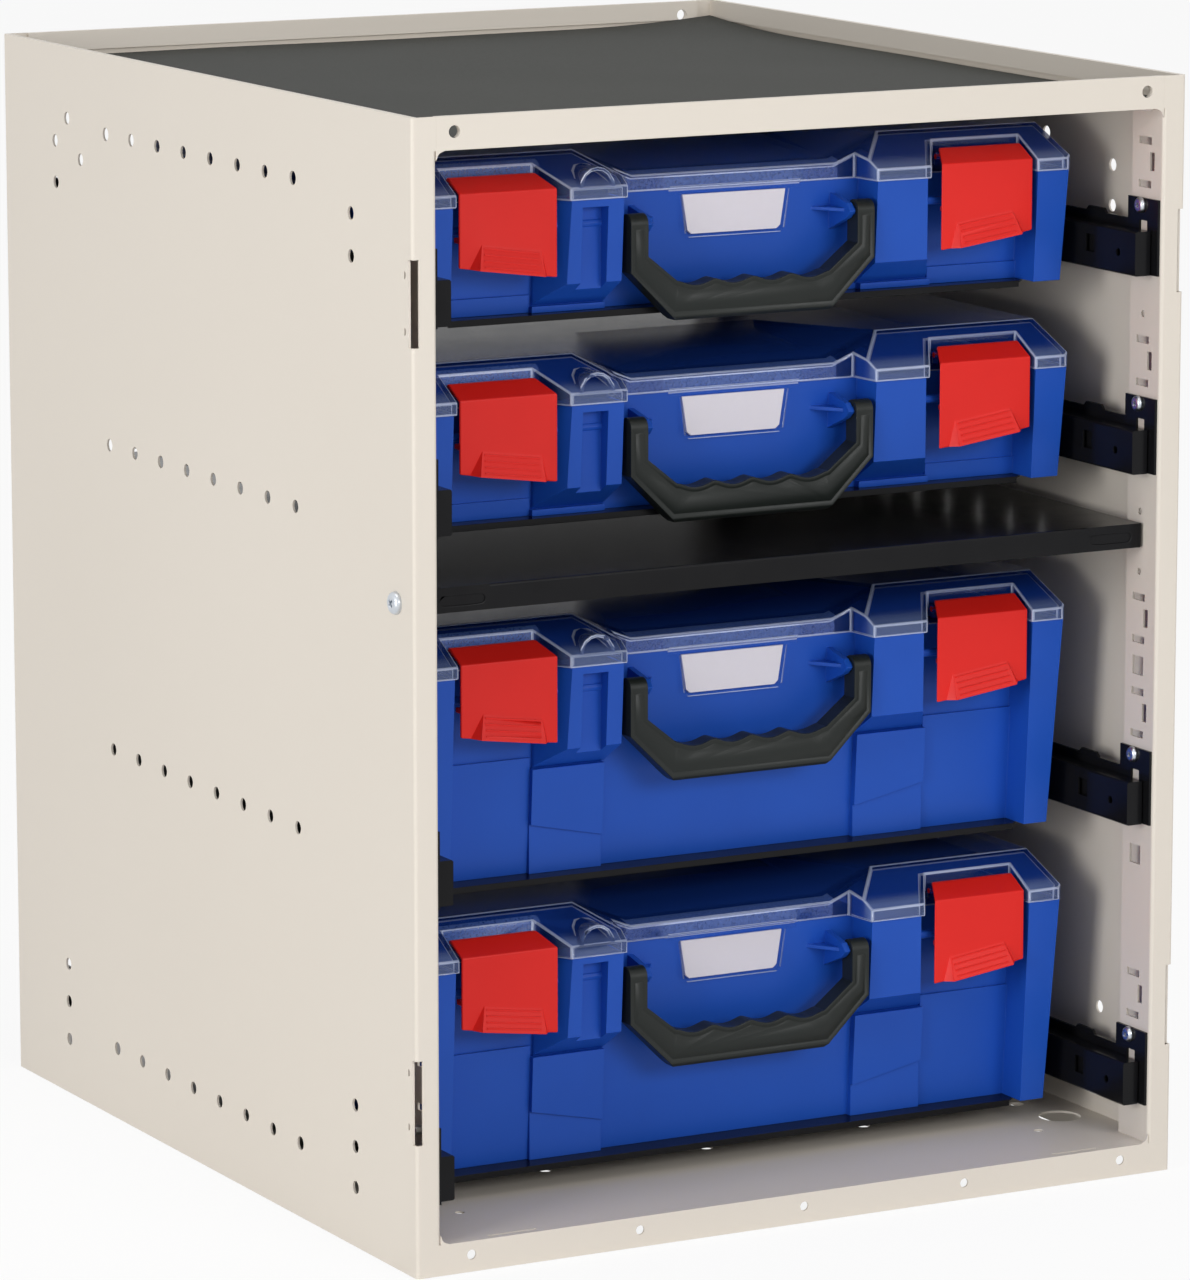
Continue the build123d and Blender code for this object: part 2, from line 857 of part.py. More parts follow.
# Lids
def lid_outline(inset):
    """The lid's plan: it follows the body's rim, posts and pockets."""
    reach = lid_overhang - inset
    half = case_half + reach
    front = -case_front - reach
    recess = -recess_front - reach
    right = (
        (post_inner - recess_lean - reach, recess),
        (post_inner - reach, front),
        (post_outer + reach, front),
        (post_foot + reach, recess),
        (pillar_inside - reach, recess),
        (pillar_inside - reach, front),
        (half - lid_corner, front),
        (half, front + lid_corner),
        (half, case_back + reach),
    )
    return right + tuple((-x, y) for x, y in reversed(right))


def plateau(rim, inset):
    """What is taken off the lid's middle to leave its plateau."""
    with BuildPart() as cut:
        for y, rise, half in (plateau_front, plateau_back):
            low = rim + rise - inset
            spread = half + plateau_clear / plateau_side
            with BuildSketch(Plane.XZ.offset(-y)):
                with BuildLine():
                    Polyline(
                        (-half, low),
                        (half, low),
                        (spread, low + plateau_clear),
                        (-spread, low + plateau_clear),
                        close=True,
                    )
                make_face()
        loft(ruled=True)
    return cut.part


def lid_form(rim, inset):
    """The lid's outside, or its inside when inset by the wall."""
    top = rim + lid_rise - inset
    band = rim + lid_band - 0.4 * inset
    half = case_half + lid_overhang - inset
    front = -case_front - lid_overhang + inset
    back = case_back + lid_overhang - inset
    rise = top - band
    with BuildPart() as form:
        with BuildSketch(Plane.XY.offset(rim)):
            with BuildLine():
                Polyline(*lid_outline(inset), close=True)
            make_face()
        extrude(amount=top - rim)
        with BuildSketch(Plane.XZ):
            with BuildLine():
                Polyline(
                    (-half, rim),
                    (-half, band),
                    (-half + rise / side_slope, top),
                    (half - rise / side_slope, top),
                    (half, band),
                    (half, rim),
                    close=True,
                )
            make_face()
        extrude(amount=cabinet_depth, both=True, mode=Mode.INTERSECT)
        with BuildSketch(Plane.YZ):
            with BuildLine():
                Polyline(
                    (front, rim),
                    (front, band),
                    (front + rise / front_slope, top),
                    (back, top),
                    (back, rim),
                    close=True,
                )
            make_face()
        extrude(amount=cabinet_width, both=True, mode=Mode.INTERSECT)
        add(plateau(rim, inset), mode=Mode.SUBTRACT)
    return form.part


def groove_hood(rim):
    """An arched hood over the finger groove, running back into the lid's slope."""
    with BuildPart() as hood:
        with BuildSketch(Plane.XZ.offset(case_front + lid_overhang)):
            with Locations((groove_x, rim + lid_band)):
                RegularPolygon(hood_radius, hood_sides)
                RegularPolygon(hood_radius - hood_wall, hood_sides, mode=Mode.SUBTRACT)
                Rectangle(4 * hood_radius, 2 * hood_radius, align=(Align.CENTER, Align.MIN), mode=Mode.INTERSECT)
        extrude(amount=-hood_depth)
    return hood.part


def label_window(rim):
    """A window with two small ears, hanging from the middle rim over the label."""
    ear_width, ear_height = window_ear
    with BuildPart() as window:
        with BuildSketch(Plane.XZ.offset(window_face)):
            with BuildLine():
                Polyline(
                    (-window_half_bottom, rim - window_drop),
                    (window_half_bottom, rim - window_drop),
                    (window_half_top, rim + lid_wall),
                    (-window_half_top, rim + lid_wall),
                    close=True,
                )
            make_face()
            chamfer(vertices().group_by(Axis.Y)[0], window_corner)
            with Locations((0, rim + lid_wall)):
                Rectangle(
                    2 * (window_half_top + ear_width),
                    ear_height + lid_wall,
                    align=(Align.CENTER, Align.MAX),
                )
        extrude(amount=-window_thickness)
    return window.part


def case_lid(rim):
    pivot = (latch_pivot_y, rim + latch_pivot_rise)
    with BuildPart() as lid:
        add(lid_form(rim, 0))
        add(groove_hood(rim))
        add(lid_form(rim, lid_wall), mode=Mode.SUBTRACT)
        add(label_window(rim))
    with BuildPart() as bosses:
        # Bosses that carry the latches' pins, at both ends of each pocket
        for near in (latch_inner + latch_taper - boss_width, latch_outer - boss_width):
            with BuildSketch(Plane.YZ.offset(near)):
                with Locations(pivot):
                    RegularPolygon(boss_size / 2 + pin_clearance, few_sides)
                with Locations((latch_pivot_y, rim + latch_pivot_rise - boss_foot_rise)):
                    Rectangle(*boss_foot, align=(Align.MIN, Align.MAX))
                with Locations(pivot):
                    RegularPolygon(latch_pin / 2 + pin_clearance, few_sides, major_radius=False, mode=Mode.SUBTRACT)
            extrude(amount=boss_width)
        mirror(about=Plane.YZ)
    return lid.part + bosses.part


# Latches
def finger_wedge(rim):
    """The ribbed wedge at the latch's foot, laid along its slanted edge."""
    foot = rim - latch_inner_drop + latch_slant * (grip_middle - latch_inner)
    seat = Plane((grip_middle, -latch_face, foot), x_dir=(1, 0, latch_slant), z_dir=(0, -1, 0))
    with BuildPart() as wedge:
        with BuildSketch(seat):
            with BuildLine():
                Polyline(
                    (-grip_half_low, 0),
                    (grip_half_low, 0),
                    (grip_half_top, grip_height),
                    (-grip_half_top, grip_height),
                    close=True,
                )
            make_face()
        with BuildSketch(seat.offset(grip_proud)):
            with Locations((0, grip_nose / 2)):
                Rectangle(2 * grip_half_face, grip_nose)
        loft(ruled=True)
        rib_height, rib_proud = rib_size
        for step in range(rib_count):
            rise = rib_first + rib_pitch * step
            depth = grip_proud * (grip_height - rise) / (grip_height - grip_nose)
            with BuildSketch(seat):
                with Locations((0, rise)):
                    Rectangle(rib_length, rib_height)
            extrude(amount=depth + rib_proud)
    return wedge.part


def latch(rim):
    """Right latch: a flap and a front plate folded in one, with a finger wedge below."""
    pivot = (latch_pivot_y, rim + latch_pivot_rise)
    low = rim - latch_inner_drop
    fold = rim + latch_top_rise
    back = rim + latch_back_rise
    barrel_start = latch_inner + latch_taper + pin_clearance
    barrel_end = latch_outer - boss_width - pin_clearance
    with BuildPart() as piece:
        with BuildSketch(Plane.YZ.offset(latch_inner)):
            with BuildLine():
                Polyline(
                    (-latch_face, low),
                    (-latch_face, fold),
                    (latch_back_y - latch_back_flat, back),
                    (latch_back_y, back),
                    (latch_back_y, back - latch_wall),
                    (latch_back_y - latch_back_flat, back - latch_wall),
                    (-latch_face + latch_wall, fold - latch_wall / 2),
                    (-latch_face + latch_wall, low),
                    close=True,
                )
            make_face()
            with Locations((-latch_face + latch_wall / 2, rim - latch_lip_drop)):
                Rectangle(*latch_lip, align=(Align.MIN, Align.MAX))
        extrude(amount=latch_outer - latch_inner)
        # The flap's inner end is cut back, and the lower edge slants
        with BuildSketch(Plane.XY.offset(low)):
            with BuildLine():
                Polyline(
                    (latch_inner, -latch_face),
                    (latch_outer, -latch_face),
                    (latch_outer, latch_back_y),
                    (latch_inner + latch_taper, latch_back_y),
                    close=True,
                )
            make_face()
        extrude(amount=back - low, mode=Mode.INTERSECT)
        with BuildSketch(Plane.XZ):
            with BuildLine():
                Polyline(
                    (latch_inner, low),
                    (latch_outer, low),
                    (latch_outer, rim - latch_outer_drop),
                    close=True,
                )
            make_face()
        extrude(amount=cabinet_depth, mode=Mode.SUBTRACT)
        add(finger_wedge(rim))
        # The barrel, its neck under the flap, and the pins
        with BuildSketch(Plane.YZ.offset(barrel_start)):
            with Locations(pivot):
                RegularPolygon(latch_barrel / 2, few_sides)
                Rectangle(
                    latch_barrel / 2,
                    latch_back_rise - latch_wall / 2 - latch_pivot_rise,
                    align=(Align.CENTER, Align.MIN),
                )
        extrude(amount=barrel_end - barrel_start)
        with BuildSketch(Plane.YZ.offset(barrel_start - boss_width)):
            with Locations(pivot):
                RegularPolygon(latch_pin / 2, few_sides)
        extrude(amount=barrel_end - barrel_start + 2 * boss_width)
    return piece.part


# Handles
def handle(rim):
    """A carrying handle with cranked arms and finger hollows on its grip."""
    top = rim - handle_top_drop
    low = top - handle_height
    grip_top = low + grip_bar
    arm_inside = handle_half - handle_arm
    back = -handle_face + handle_thick
    pivot_y, pivot_z = handle_pivot(rim)
    peaks = [scallop_pitch * step for step in (-1, 0, 1)]
    stations = [-grip_bar_half, *peaks, grip_bar_half]
    with BuildPart() as piece:
        with BuildSketch(Plane.XZ.offset(-back)):
            with BuildLine():
                Polyline(
                    (grip_bar_half, grip_top),
                    (arm_inside, grip_top + arm_bend),
                    (arm_inside, top),
                    (handle_half, top),
                    (handle_half, top - handle_shoulder),
                    (handle_foot_half, low),
                    (-handle_foot_half, low),
                    (-handle_half, top - handle_shoulder),
                    (-handle_half, top),
                    (-arm_inside, top),
                    (-arm_inside, grip_top + arm_bend),
                    (-grip_bar_half, grip_top),
                )
                for start, end in zip(stations, stations[1:]):
                    hollow = ((start + end) / 2, grip_top - scallop_depth)
                    ThreePointArc((start, grip_top), hollow, (end, grip_top))
            make_face()
        extrude(amount=handle_thick)
        # Rounded over the eyes, and eased along the foot
        with BuildSketch(Plane.YZ):
            with BuildLine():
                Polyline(
                    (back, pivot_z),
                    (back, low + handle_bottom_chamfer),
                    (back - handle_bottom_chamfer, low),
                    (-handle_face + handle_bottom_chamfer, low),
                    (-handle_face, low + handle_bottom_chamfer),
                    (-handle_face, pivot_z),
                )
                ThreePointArc((-handle_face, pivot_z), (pivot_y, top), (back, pivot_z))
            make_face()
        extrude(amount=handle_half, both=True, mode=Mode.INTERSECT)
        with BuildSketch(Plane.YZ):
            with Locations((pivot_y, pivot_z)):
                RegularPolygon(handle_pin / 2 + pin_clearance, few_sides, major_radius=False)
        extrude(amount=handle_half - handle_cheek, both=True, mode=Mode.SUBTRACT)
    return piece.part


def label(rim):
    """The card behind its window, lying on the drafted wall."""
    high, low = (rim - drop for drop in label_drop)
    with BuildPart() as card:
        with BuildSketch(Plane.XZ.offset(label_front)):
            with BuildLine():
                Polyline(
                    (-label_half_bottom, low),
                    (label_half_bottom, low),
                    (label_half_top, high),
                    (-label_half_top, high),
                    close=True,
                )
            make_face()
            chamfer(vertices().group_by(Axis.Y)[0], label_corner)
        extrude(amount=-label_depth)
        add(drafted(rim, rim - small_rim, rim, 0), mode=Mode.SUBTRACT)
    return card.part


for number, bay, extra in bays:
    seat = bay - tray_floor
    rim = seat + small_rim + extra
    for name, member in (
        ("slide_fixed", fixed_rail(bay)),
        ("slide_middle", middle_rail(bay)),
        ("slide_runner", runner(bay)),
        ("latch", latch(rim)),
    ):
        save(member, f"{name}_right_{number}")
        save(mirrored(member), f"{name}_left_{number}")
    save(tray(bay), f"tray_{number}")
    save(case_body(rim, seat), f"case_body_{number}")
    save(case_lid(rim), f"case_lid_{number}")
    save(handle(rim), f"handle_{number}")
    save(label(rim), f"label_{number}")
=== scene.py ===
# %% [markdown]
# A case storage cabinet: a folded steel box with four moulded cases on
# telescopic trays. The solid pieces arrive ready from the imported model. This
# script gives them soft edges, finishes, small details, light and a camera. We
# work in metres: X runs to the right, the open front faces -Y, and Z is up.

import json
from math import hypot, pi, radians, sin

import bmesh
import bpy
from mathutils import Matrix, Vector

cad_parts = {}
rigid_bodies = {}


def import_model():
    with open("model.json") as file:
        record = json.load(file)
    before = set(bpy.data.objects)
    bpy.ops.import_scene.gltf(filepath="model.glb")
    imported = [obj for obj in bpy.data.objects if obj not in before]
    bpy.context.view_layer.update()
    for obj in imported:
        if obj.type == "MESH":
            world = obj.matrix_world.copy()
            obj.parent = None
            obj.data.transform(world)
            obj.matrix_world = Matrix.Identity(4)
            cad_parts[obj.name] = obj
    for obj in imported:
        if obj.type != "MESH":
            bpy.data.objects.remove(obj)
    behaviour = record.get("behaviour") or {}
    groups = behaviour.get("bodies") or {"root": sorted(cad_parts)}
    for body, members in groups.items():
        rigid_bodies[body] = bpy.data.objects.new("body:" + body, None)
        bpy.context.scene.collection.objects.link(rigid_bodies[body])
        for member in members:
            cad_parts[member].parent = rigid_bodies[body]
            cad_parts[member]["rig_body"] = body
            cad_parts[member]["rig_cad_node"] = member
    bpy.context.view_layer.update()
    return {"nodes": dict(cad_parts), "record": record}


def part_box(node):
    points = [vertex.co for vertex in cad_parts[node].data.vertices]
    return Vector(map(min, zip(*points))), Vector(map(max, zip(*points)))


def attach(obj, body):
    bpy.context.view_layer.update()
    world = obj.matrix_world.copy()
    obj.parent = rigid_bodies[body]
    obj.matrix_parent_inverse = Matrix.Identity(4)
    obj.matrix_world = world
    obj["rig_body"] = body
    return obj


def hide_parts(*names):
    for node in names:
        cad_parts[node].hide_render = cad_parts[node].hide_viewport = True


MM = 0.001
SQUARE_MM = MM * MM
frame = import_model()

# %% [markdown]
# The camera comes first, because everything else is judged through it. It
# stands where the photographer stood: a long lens, a little above the cabinet
# and to the left, so that the side panel and the open front both show.

# %% Camera
CAMERA_PLACE = Vector((-1.7425, -3.2562, 0.9610))
CAMERA_AZIMUTH = -28.311
CAMERA_ELEVATION = 10.524
CAMERA_LENS = 188.45
SENSOR_WIDTH = 36
FARTHEST_SEEN = 50

bpy.ops.object.camera_add(
    location=CAMERA_PLACE,
    rotation=(radians(90 - CAMERA_ELEVATION), 0, radians(CAMERA_AZIMUTH)),
)
camera = bpy.context.object
camera.name = "camera"
camera.data.lens = CAMERA_LENS
camera.data.sensor_width = SENSOR_WIDTH
camera.data.clip_end = FARTHEST_SEEN
bpy.context.scene.camera = camera
bpy.context.scene.view_settings.view_transform = "Standard"
print("camera at", tuple(CAMERA_PLACE), "lens", CAMERA_LENS)

# %% [markdown]
# Shader maths reads best as plain expressions. One small class wraps a socket,
# so that `grain * 0.2 + 0.4` adds the Math nodes for us. Any other node comes
# from `node`, which takes its type, its settings and the values of its sockets,
# by their names or, as `i0` and so on, by their places.


# %% Shader helper
class Wire:
    """One output socket of a shader node, with arithmetic."""

    def __init__(self, tree, socket):
        self.tree = tree
        self.socket = socket

    def node(self, kind, settings=None, out=0, **inputs):
        made = self.tree.nodes.new(kind)
        for name, value in (settings or {}).items():
            setattr(made, name, value)
        for name, value in inputs.items():
            numbered = name[0] == "i" and name[1:].isdigit()
            plug(self.tree, made.inputs[int(name[1:]) if numbered else name], value)
        return Wire(self.tree, made.outputs[out])

    def math(self, operation, *values):
        inputs = {f"i{place}": value for place, value in enumerate(values)}
        return self.node("ShaderNodeMath", {"operation": operation}, **inputs)

    def __add__(self, other):
        return self.math("ADD", self, other)

    def __radd__(self, other):
        return self.math("ADD", other, self)

    def __sub__(self, other):
        return self.math("SUBTRACT", self, other)

    def __rsub__(self, other):
        return self.math("SUBTRACT", other, self)

    def __mul__(self, other):
        return self.math("MULTIPLY", self, other)

    def __rmul__(self, other):
        return self.math("MULTIPLY", other, self)


def plug(tree, socket, value):
    """Link a wire to a socket, or set the socket's own value."""
    if isinstance(value, Wire):
        tree.links.new(value.socket, socket)
    else:
        socket.default_value = value


# %% [markdown]
# Six small recipes are used by the finishes: an empty material, noise, a blend
# of two colours, a bump, a soft step that goes from 0 to 1 as a coordinate
# passes from one value to another, and the coordinates one by one. Masks made
# from such steps say where on the piece something happens, such as frosting on
# one band of a lid.


# %% Recipes for finishes
def new_finish(name):
    """An empty material: its tree, its main shader and its object coordinates."""
    material = bpy.data.materials.new(name)
    material.use_nodes = True
    tree = material.node_tree
    shader = tree.nodes["Principled BSDF"]
    coords = tree.nodes.new("ShaderNodeTexCoord")
    return material, tree, shader, Wire(tree, coords.outputs["Object"])


def noise(coords, scale, detail=3.0, roughness=0.5):
    """Smooth noise over the surface, about 0.5 on average."""
    return coords.node(
        "ShaderNodeTexNoise", Vector=coords, Scale=scale, Detail=detail, Roughness=roughness
    )


def blend_colours(factor, first, second):
    """A colour between two others, as the factor goes from 0 to 1."""
    first, second = (c if isinstance(c, Wire) else (*c, 1) for c in (first, second))
    return factor.node(
        "ShaderNodeMix", {"data_type": "RGBA"}, out=2, i0=factor, i6=first, i7=second
    )


def bump(height, strength, distance):
    """A normal that follows a height in metres."""
    return height.node("ShaderNodeBump", Strength=strength, Distance=distance, Height=height)


def soft_step(value, start, end):
    """0 below start and 1 above end, or the other way round if end is the smaller."""
    low, high, first, last = (start, end, 0.0, 1.0) if start < end else (end, start, 1.0, 0.0)
    return value.node(
        "ShaderNodeMapRange", {"clamp": True}, i0=value, i1=low, i2=high, i3=first, i4=last
    )


def split(coords):
    """The three coordinates, each as a wire."""
    parts = coords.node("ShaderNodeSeparateXYZ", Vector=coords).socket.node
    return [Wire(coords.tree, parts.outputs[axis]) for axis in range(3)]


# %% [markdown]
# Powder coat is a baked plastic skin on the steel. Close up it has a fine
# orange peel, and its sheen is broad. We make the peel with a bump from one
# fine noise, and let a large soft noise shift the colour a little, because no
# painted sheet is one flat colour. The black paint of the slides and the shelf
# is glossier and mirrors the blue cases, so it gets a low roughness.

# %% Powder coat and black paint
BEIGE = ((0.715, 0.655, 0.575), (0.755, 0.695, 0.615))
BLACK = ((0.005, 0.005, 0.006), (0.010, 0.010, 0.011))


def powder_coat():
    """Beige, in broad faint patches, with a fine orange peel."""
    material, tree, shader, coords = new_finish("beige powder coat")
    patches = noise(coords, 3.5, 2.0)
    peel = noise(coords, 900.0, 2.0)
    plug(tree, shader.inputs["Base Color"], blend_colours(patches, *BEIGE))
    plug(tree, shader.inputs["Roughness"], noise(coords, 14.0) * 0.1 + 0.38)
    plug(tree, shader.inputs["Normal"], bump(peel, 0.1, 0.0002))
    return material


def black_paint():
    """Glossy black, with sharp but weak reflections."""
    material, tree, shader, coords = new_finish("gloss black paint")
    peel = noise(coords, 420.0, 2.0)
    plug(tree, shader.inputs["Base Color"], blend_colours(noise(coords, 30.0), *BLACK))
    plug(tree, shader.inputs["Roughness"], noise(coords, 60.0) * 0.12 + 0.16)
    plug(tree, shader.inputs["Normal"], bump(peel, 0.15, 0.0002))
    shader.inputs["Specular IOR Level"].default_value = 0.13
    return material


# %% [markdown]
# The cases are moulded polypropylene: satin, with a fine spark-eroded grain
# from the mould. The latches are a bright red, and the handles a dark
# glass-filled nylon. All share one recipe and one gloss, with their own colours
# and grain.

# %% Moulded plastics
MOULDED_GLOSS = 0.34
MOULDED_SHEEN = 0.25
BLUE = ((0.009, 0.072, 0.43), (0.012, 0.086, 0.49))
RED = ((0.72, 0.014, 0.010), (0.80, 0.020, 0.014))
CHARCOAL = ((0.010, 0.013, 0.012), (0.015, 0.018, 0.016))


def moulded(name, colours, grain_scale, grain_strength):
    """A satin plastic between two close colours, with a fine grain."""
    material, tree, shader, coords = new_finish(name)
    grain = noise(coords, grain_scale, 4.0, 0.6)
    plug(tree, shader.inputs["Base Color"], blend_colours(noise(coords, 22.0), *colours))
    plug(tree, shader.inputs["Roughness"], noise(coords, 90.0) * 0.12 + MOULDED_GLOSS)
    plug(tree, shader.inputs["Normal"], bump(grain, grain_strength, 0.00015))
    shader.inputs["Specular IOR Level"].default_value = MOULDED_SHEEN
    return material


# %% [markdown]
# The lids are clear polycarbonate. A ray tracer can bend light through them,
# but then no lamp reaches the inside of a case, and it turns black. A thin
# clear shell is better made with Alpha: most light goes straight through, and
# Fresnel makes the shell show more where we look along it, as a real one does.
#
# The rounded edges get a painted highlight: their colour is made pale, and they show more, so
# they read as pale lines. Their faces carry an attribute for this that the bevel sets, and the
# material reads it. The lip gets a paler tint, a painted highlight as well. The moulder frosts a
# band behind the middle rim and the wall of the left latch pocket: there the shell is milky and
# has a leather grain. The window over the label is polished and shows the card.

# %% Places on a clear lid
TOP_START, TOP_FULL = -0.1700, -0.1640
LIP_START, LIP_FULL = -0.1880, -0.1930
FROST = {"across": (-0.064, 0.064), "along": (-0.1768, -0.1695)}
WINDOW = {"across": (-0.042, 0.042), "along": (-0.1790, -0.1772)}
POCKET = {"across": (-0.190, -0.118), "along": (-0.1790, -0.1740)}


def between(value, low, high, blur):
    """1 between two values, with a soft border."""
    return soft_step(value, low - blur, low) * soft_step(value, high + blur, high)


def patch(across, along, place):
    """1 in one upright wall of the lid, given by its range in X and in Y."""
    return between(across, *place["across"], 0.001) * between(along, *place["along"], 0.0002)


# %% [markdown]
# With the places known, the lid's finish is a sum: how much the shell shows is
# a little everywhere, more on its top, its lip, its frosted walls and its
# edges, and almost nothing in the window.

# %% Clear lids
CLEAR_TINT = (0.018, 0.080, 0.48)
# painted highlight: the lip's tint is paler than the rest of the shell
LIP_PAINTED_HIGHLIGHT_TINT = (0.22, 0.32, 0.66)
FROST_TINT = (0.11, 0.22, 0.70)
# painted highlight: the pale colour of the lid's rounded edges
PAINTED_EDGE_HIGHLIGHT_TINT = (0.62, 0.70, 0.92)


def clear_plastic():
    """A thin clear shell, milky where it is frosted, with a painted highlight on its lip and its
    edges.
    """
    material, tree, shader, coords = new_finish("clear moulded plastic")
    across, along, _ = split(coords)
    frost = patch(across, along, FROST)
    frost = frost.math("MAXIMUM", frost, patch(across, along, POCKET))
    window = patch(across, along, WINDOW)
    top = soft_step(along, TOP_START, TOP_FULL)
    # The rounded edge faces, which get a painted highlight in the colour below.
    edge = coords.node("ShaderNodeAttribute", {"attribute_name": "edge_light"}, out=2)
    leather = noise(coords, 750.0, 3.0, 0.6)
    slant = coords.node("ShaderNodeFresnel", IOR=1.5)
    lip = soft_step(along, LIP_START, LIP_FULL)
    # Painted highlight: the lip is tinted paler than the shell.
    tint = blend_colours(lip, CLEAR_TINT, LIP_PAINTED_HIGHLIGHT_TINT)
    tint = blend_colours(frost, tint, FROST_TINT)
    # Painted highlight: the rounded edges are made paler in colour.
    plug(tree, shader.inputs["Base Color"], blend_colours(edge * 0.8, tint, PAINTED_EDGE_HIGHLIGHT_TINT))
    plug(tree, shader.inputs["Roughness"], frost * 0.3 + 0.06)
    shell = slant * 0.7 + top * 0.42 + frost * (leather * 0.5 + 0.1)
    shell = shell + edge * 0.45 + lip * 0.06 + 0.12
    plug(tree, shader.inputs["Alpha"], shell * (1 - window * 0.9) + window * edge * 0.5)
    plug(tree, shader.inputs["Normal"], bump(frost * leather, 0.6, 0.0006))
    shader.inputs["Specular IOR Level"].default_value = 0.8
    shader.inputs["Coat Weight"].default_value = 0.5
    shader.inputs["Coat Roughness"].default_value = 0.03
    return material


# %% [markdown]
# Three small finishes remain: the rubber mat with its fine pebbled skin, the
# label card, and the bright zinc on the screws, which is metal with a faint
# bluish passivation.

# %% Mat, card and zinc
RUBBER = ((0.024, 0.025, 0.022), (0.034, 0.035, 0.031))
CARD = ((0.78, 0.74, 0.79), (0.83, 0.79, 0.84))
ZINC = ((0.50, 0.55, 0.62), (0.72, 0.74, 0.76))


def mat_rubber():
    """Dull dark rubber with a pebbled skin."""
    material, tree, shader, coords = new_finish("mat rubber")
    grain = noise(coords, 700.0, 5.0, 0.7)
    plug(tree, shader.inputs["Base Color"], blend_colours(noise(coords, 9.0, 5.0), *RUBBER))
    plug(tree, shader.inputs["Roughness"], grain * 0.2 + 0.6)
    plug(tree, shader.inputs["Normal"], bump(grain, 0.5, 0.0003))
    shader.inputs["Specular IOR Level"].default_value = 0.2
    return material


def label_card():
    """Smooth card, a little off white."""
    material, tree, shader, coords = new_finish("label card")
    plug(tree, shader.inputs["Base Color"], blend_colours(noise(coords, 300.0), *CARD))
    plug(tree, shader.inputs["Roughness"], noise(coords, 120.0) * 0.1 + 0.3)
    return material


def zinc():
    """Bright metal with faint bluish clouds."""
    material, tree, shader, coords = new_finish("bright zinc")
    plug(tree, shader.inputs["Base Color"], blend_colours(noise(coords, 260.0), *ZINC))
    plug(tree, shader.inputs["Roughness"], noise(coords, 500.0) * 0.25 + 0.2)
    shader.inputs["Metallic"].default_value = 1.0
    return material


# %% [markdown]
# Each finish has the name of the material slot that it fills. Which node wears
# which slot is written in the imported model's record.

# %% All finishes
finishes = {
    "cabinet_paint": powder_coat(),
    "black_paint": black_paint(),
    "case_plastic": moulded("blue case plastic", BLUE, 1500.0, 0.25),
    "clear_plastic": clear_plastic(),
    "latch_plastic": moulded("red latch plastic", RED, 1800.0, 0.15),
    "handle_plastic": moulded("handle plastic", CHARCOAL, 1400.0, 0.3),
    "mat_rubber": mat_rubber(),
    "label_card": label_card(),
    "zinc": zinc(),
}
node_slots = {row["node"]: row["material_slot"] for row in frame["record"]["subparts"]}
print("finishes", sorted(finishes))

# %% [markdown]
# A solid from CAD has perfectly sharp edges, and nothing real has: a moulded
# edge has a radius, and a painted edge a soft bead. Those edges catch the light
# and tell the eye the size. So each rigid piece gets a copy whose edges are
# rounded by a Bevel modifier, and the copy stands for the solid.
#
# Long flat sheets with holes shade in streaks when their normals are averaged
# over the bevels. A Weighted Normal modifier mends that: the largest face at a
# corner decides which way it faces.


# %% Soft edges
def select_only(piece):
    """Select one piece alone, and make it the active one."""
    bpy.ops.object.select_all(action="DESELECT")
    piece.select_set(True)
    bpy.context.view_layer.objects.active = piece


def apply_all(piece):
    """Apply every modifier on the piece, in order."""
    select_only(piece)
    for modifier in list(piece.modifiers):
        bpy.ops.object.modifier_apply(modifier=modifier.name)


def soften(piece, radius, segments=2, angle=30):
    """Round the sharp edges of a piece, and let its large faces shade flat."""
    select_only(piece)
    bpy.ops.object.shade_smooth()
    bevel = piece.modifiers.new("soft edges", "BEVEL")
    bevel.width = radius * MM
    bevel.segments = segments
    bevel.limit_method = "ANGLE"
    bevel.angle_limit = radians(angle)
    flat = piece.modifiers.new("flat faces", "WEIGHTED_NORMAL")
    flat.weight = 100
    flat.keep_sharp = False
    apply_all(piece)


# %% [markdown]
# The Bevel modifier gives every edge one radius, and narrow parts keep it
# small. Where only the long edges of a piece are rounder, we pick them in edit
# mode and bevel them first. A face narrower than two radii has no room for
# them: bevelled all the same, it would turn inside out.

# %% Rounder long edges
SHARP_EDGE = 25
ROOM_FOR_TWO = 2.1


def mean_width(face):
    """How wide a long narrow face or a ring is, on average."""
    return 2 * face.calc_area() / face.calc_perimeter()


def round_edges(piece, radius, least_area, segments=3, slot=-1):
    """Bevel only the sharp edges between two large faces, given in square mm."""

    def has_room(face):
        large = face.calc_area() > least_area * SQUARE_MM
        return large and mean_width(face) > ROOM_FOR_TWO * radius * MM

    select_only(piece)
    bpy.ops.object.mode_set(mode="EDIT")
    bpy.ops.mesh.select_mode(type="EDGE")
    bpy.ops.mesh.select_all(action="DESELECT")
    mesh = bmesh.from_edit_mesh(piece.data)
    for edge in mesh.edges:
        if len(edge.link_faces) == 2 and edge.calc_face_angle(0.0) > radians(SHARP_EDGE):
            edge.select_set(all(has_room(face) for face in edge.link_faces))
    bmesh.update_edit_mesh(piece.data)
    bpy.ops.mesh.bevel(offset=radius * MM, segments=segments, material=slot)
    bpy.ops.object.mode_set(mode="OBJECT")


# %% [markdown]
# The mesh of a solid is a heap of loose triangles, so a copy of it is merged, and its flat faces
# are made whole, before we shape it. When the copy is ready it is dressed: it takes the body and
# the finish of its solid, and the solid is hidden.

# %% Copy a solid, and dress the copy
MERGE_DISTANCE = 0.005
FLAT_ANGLE = 0.5


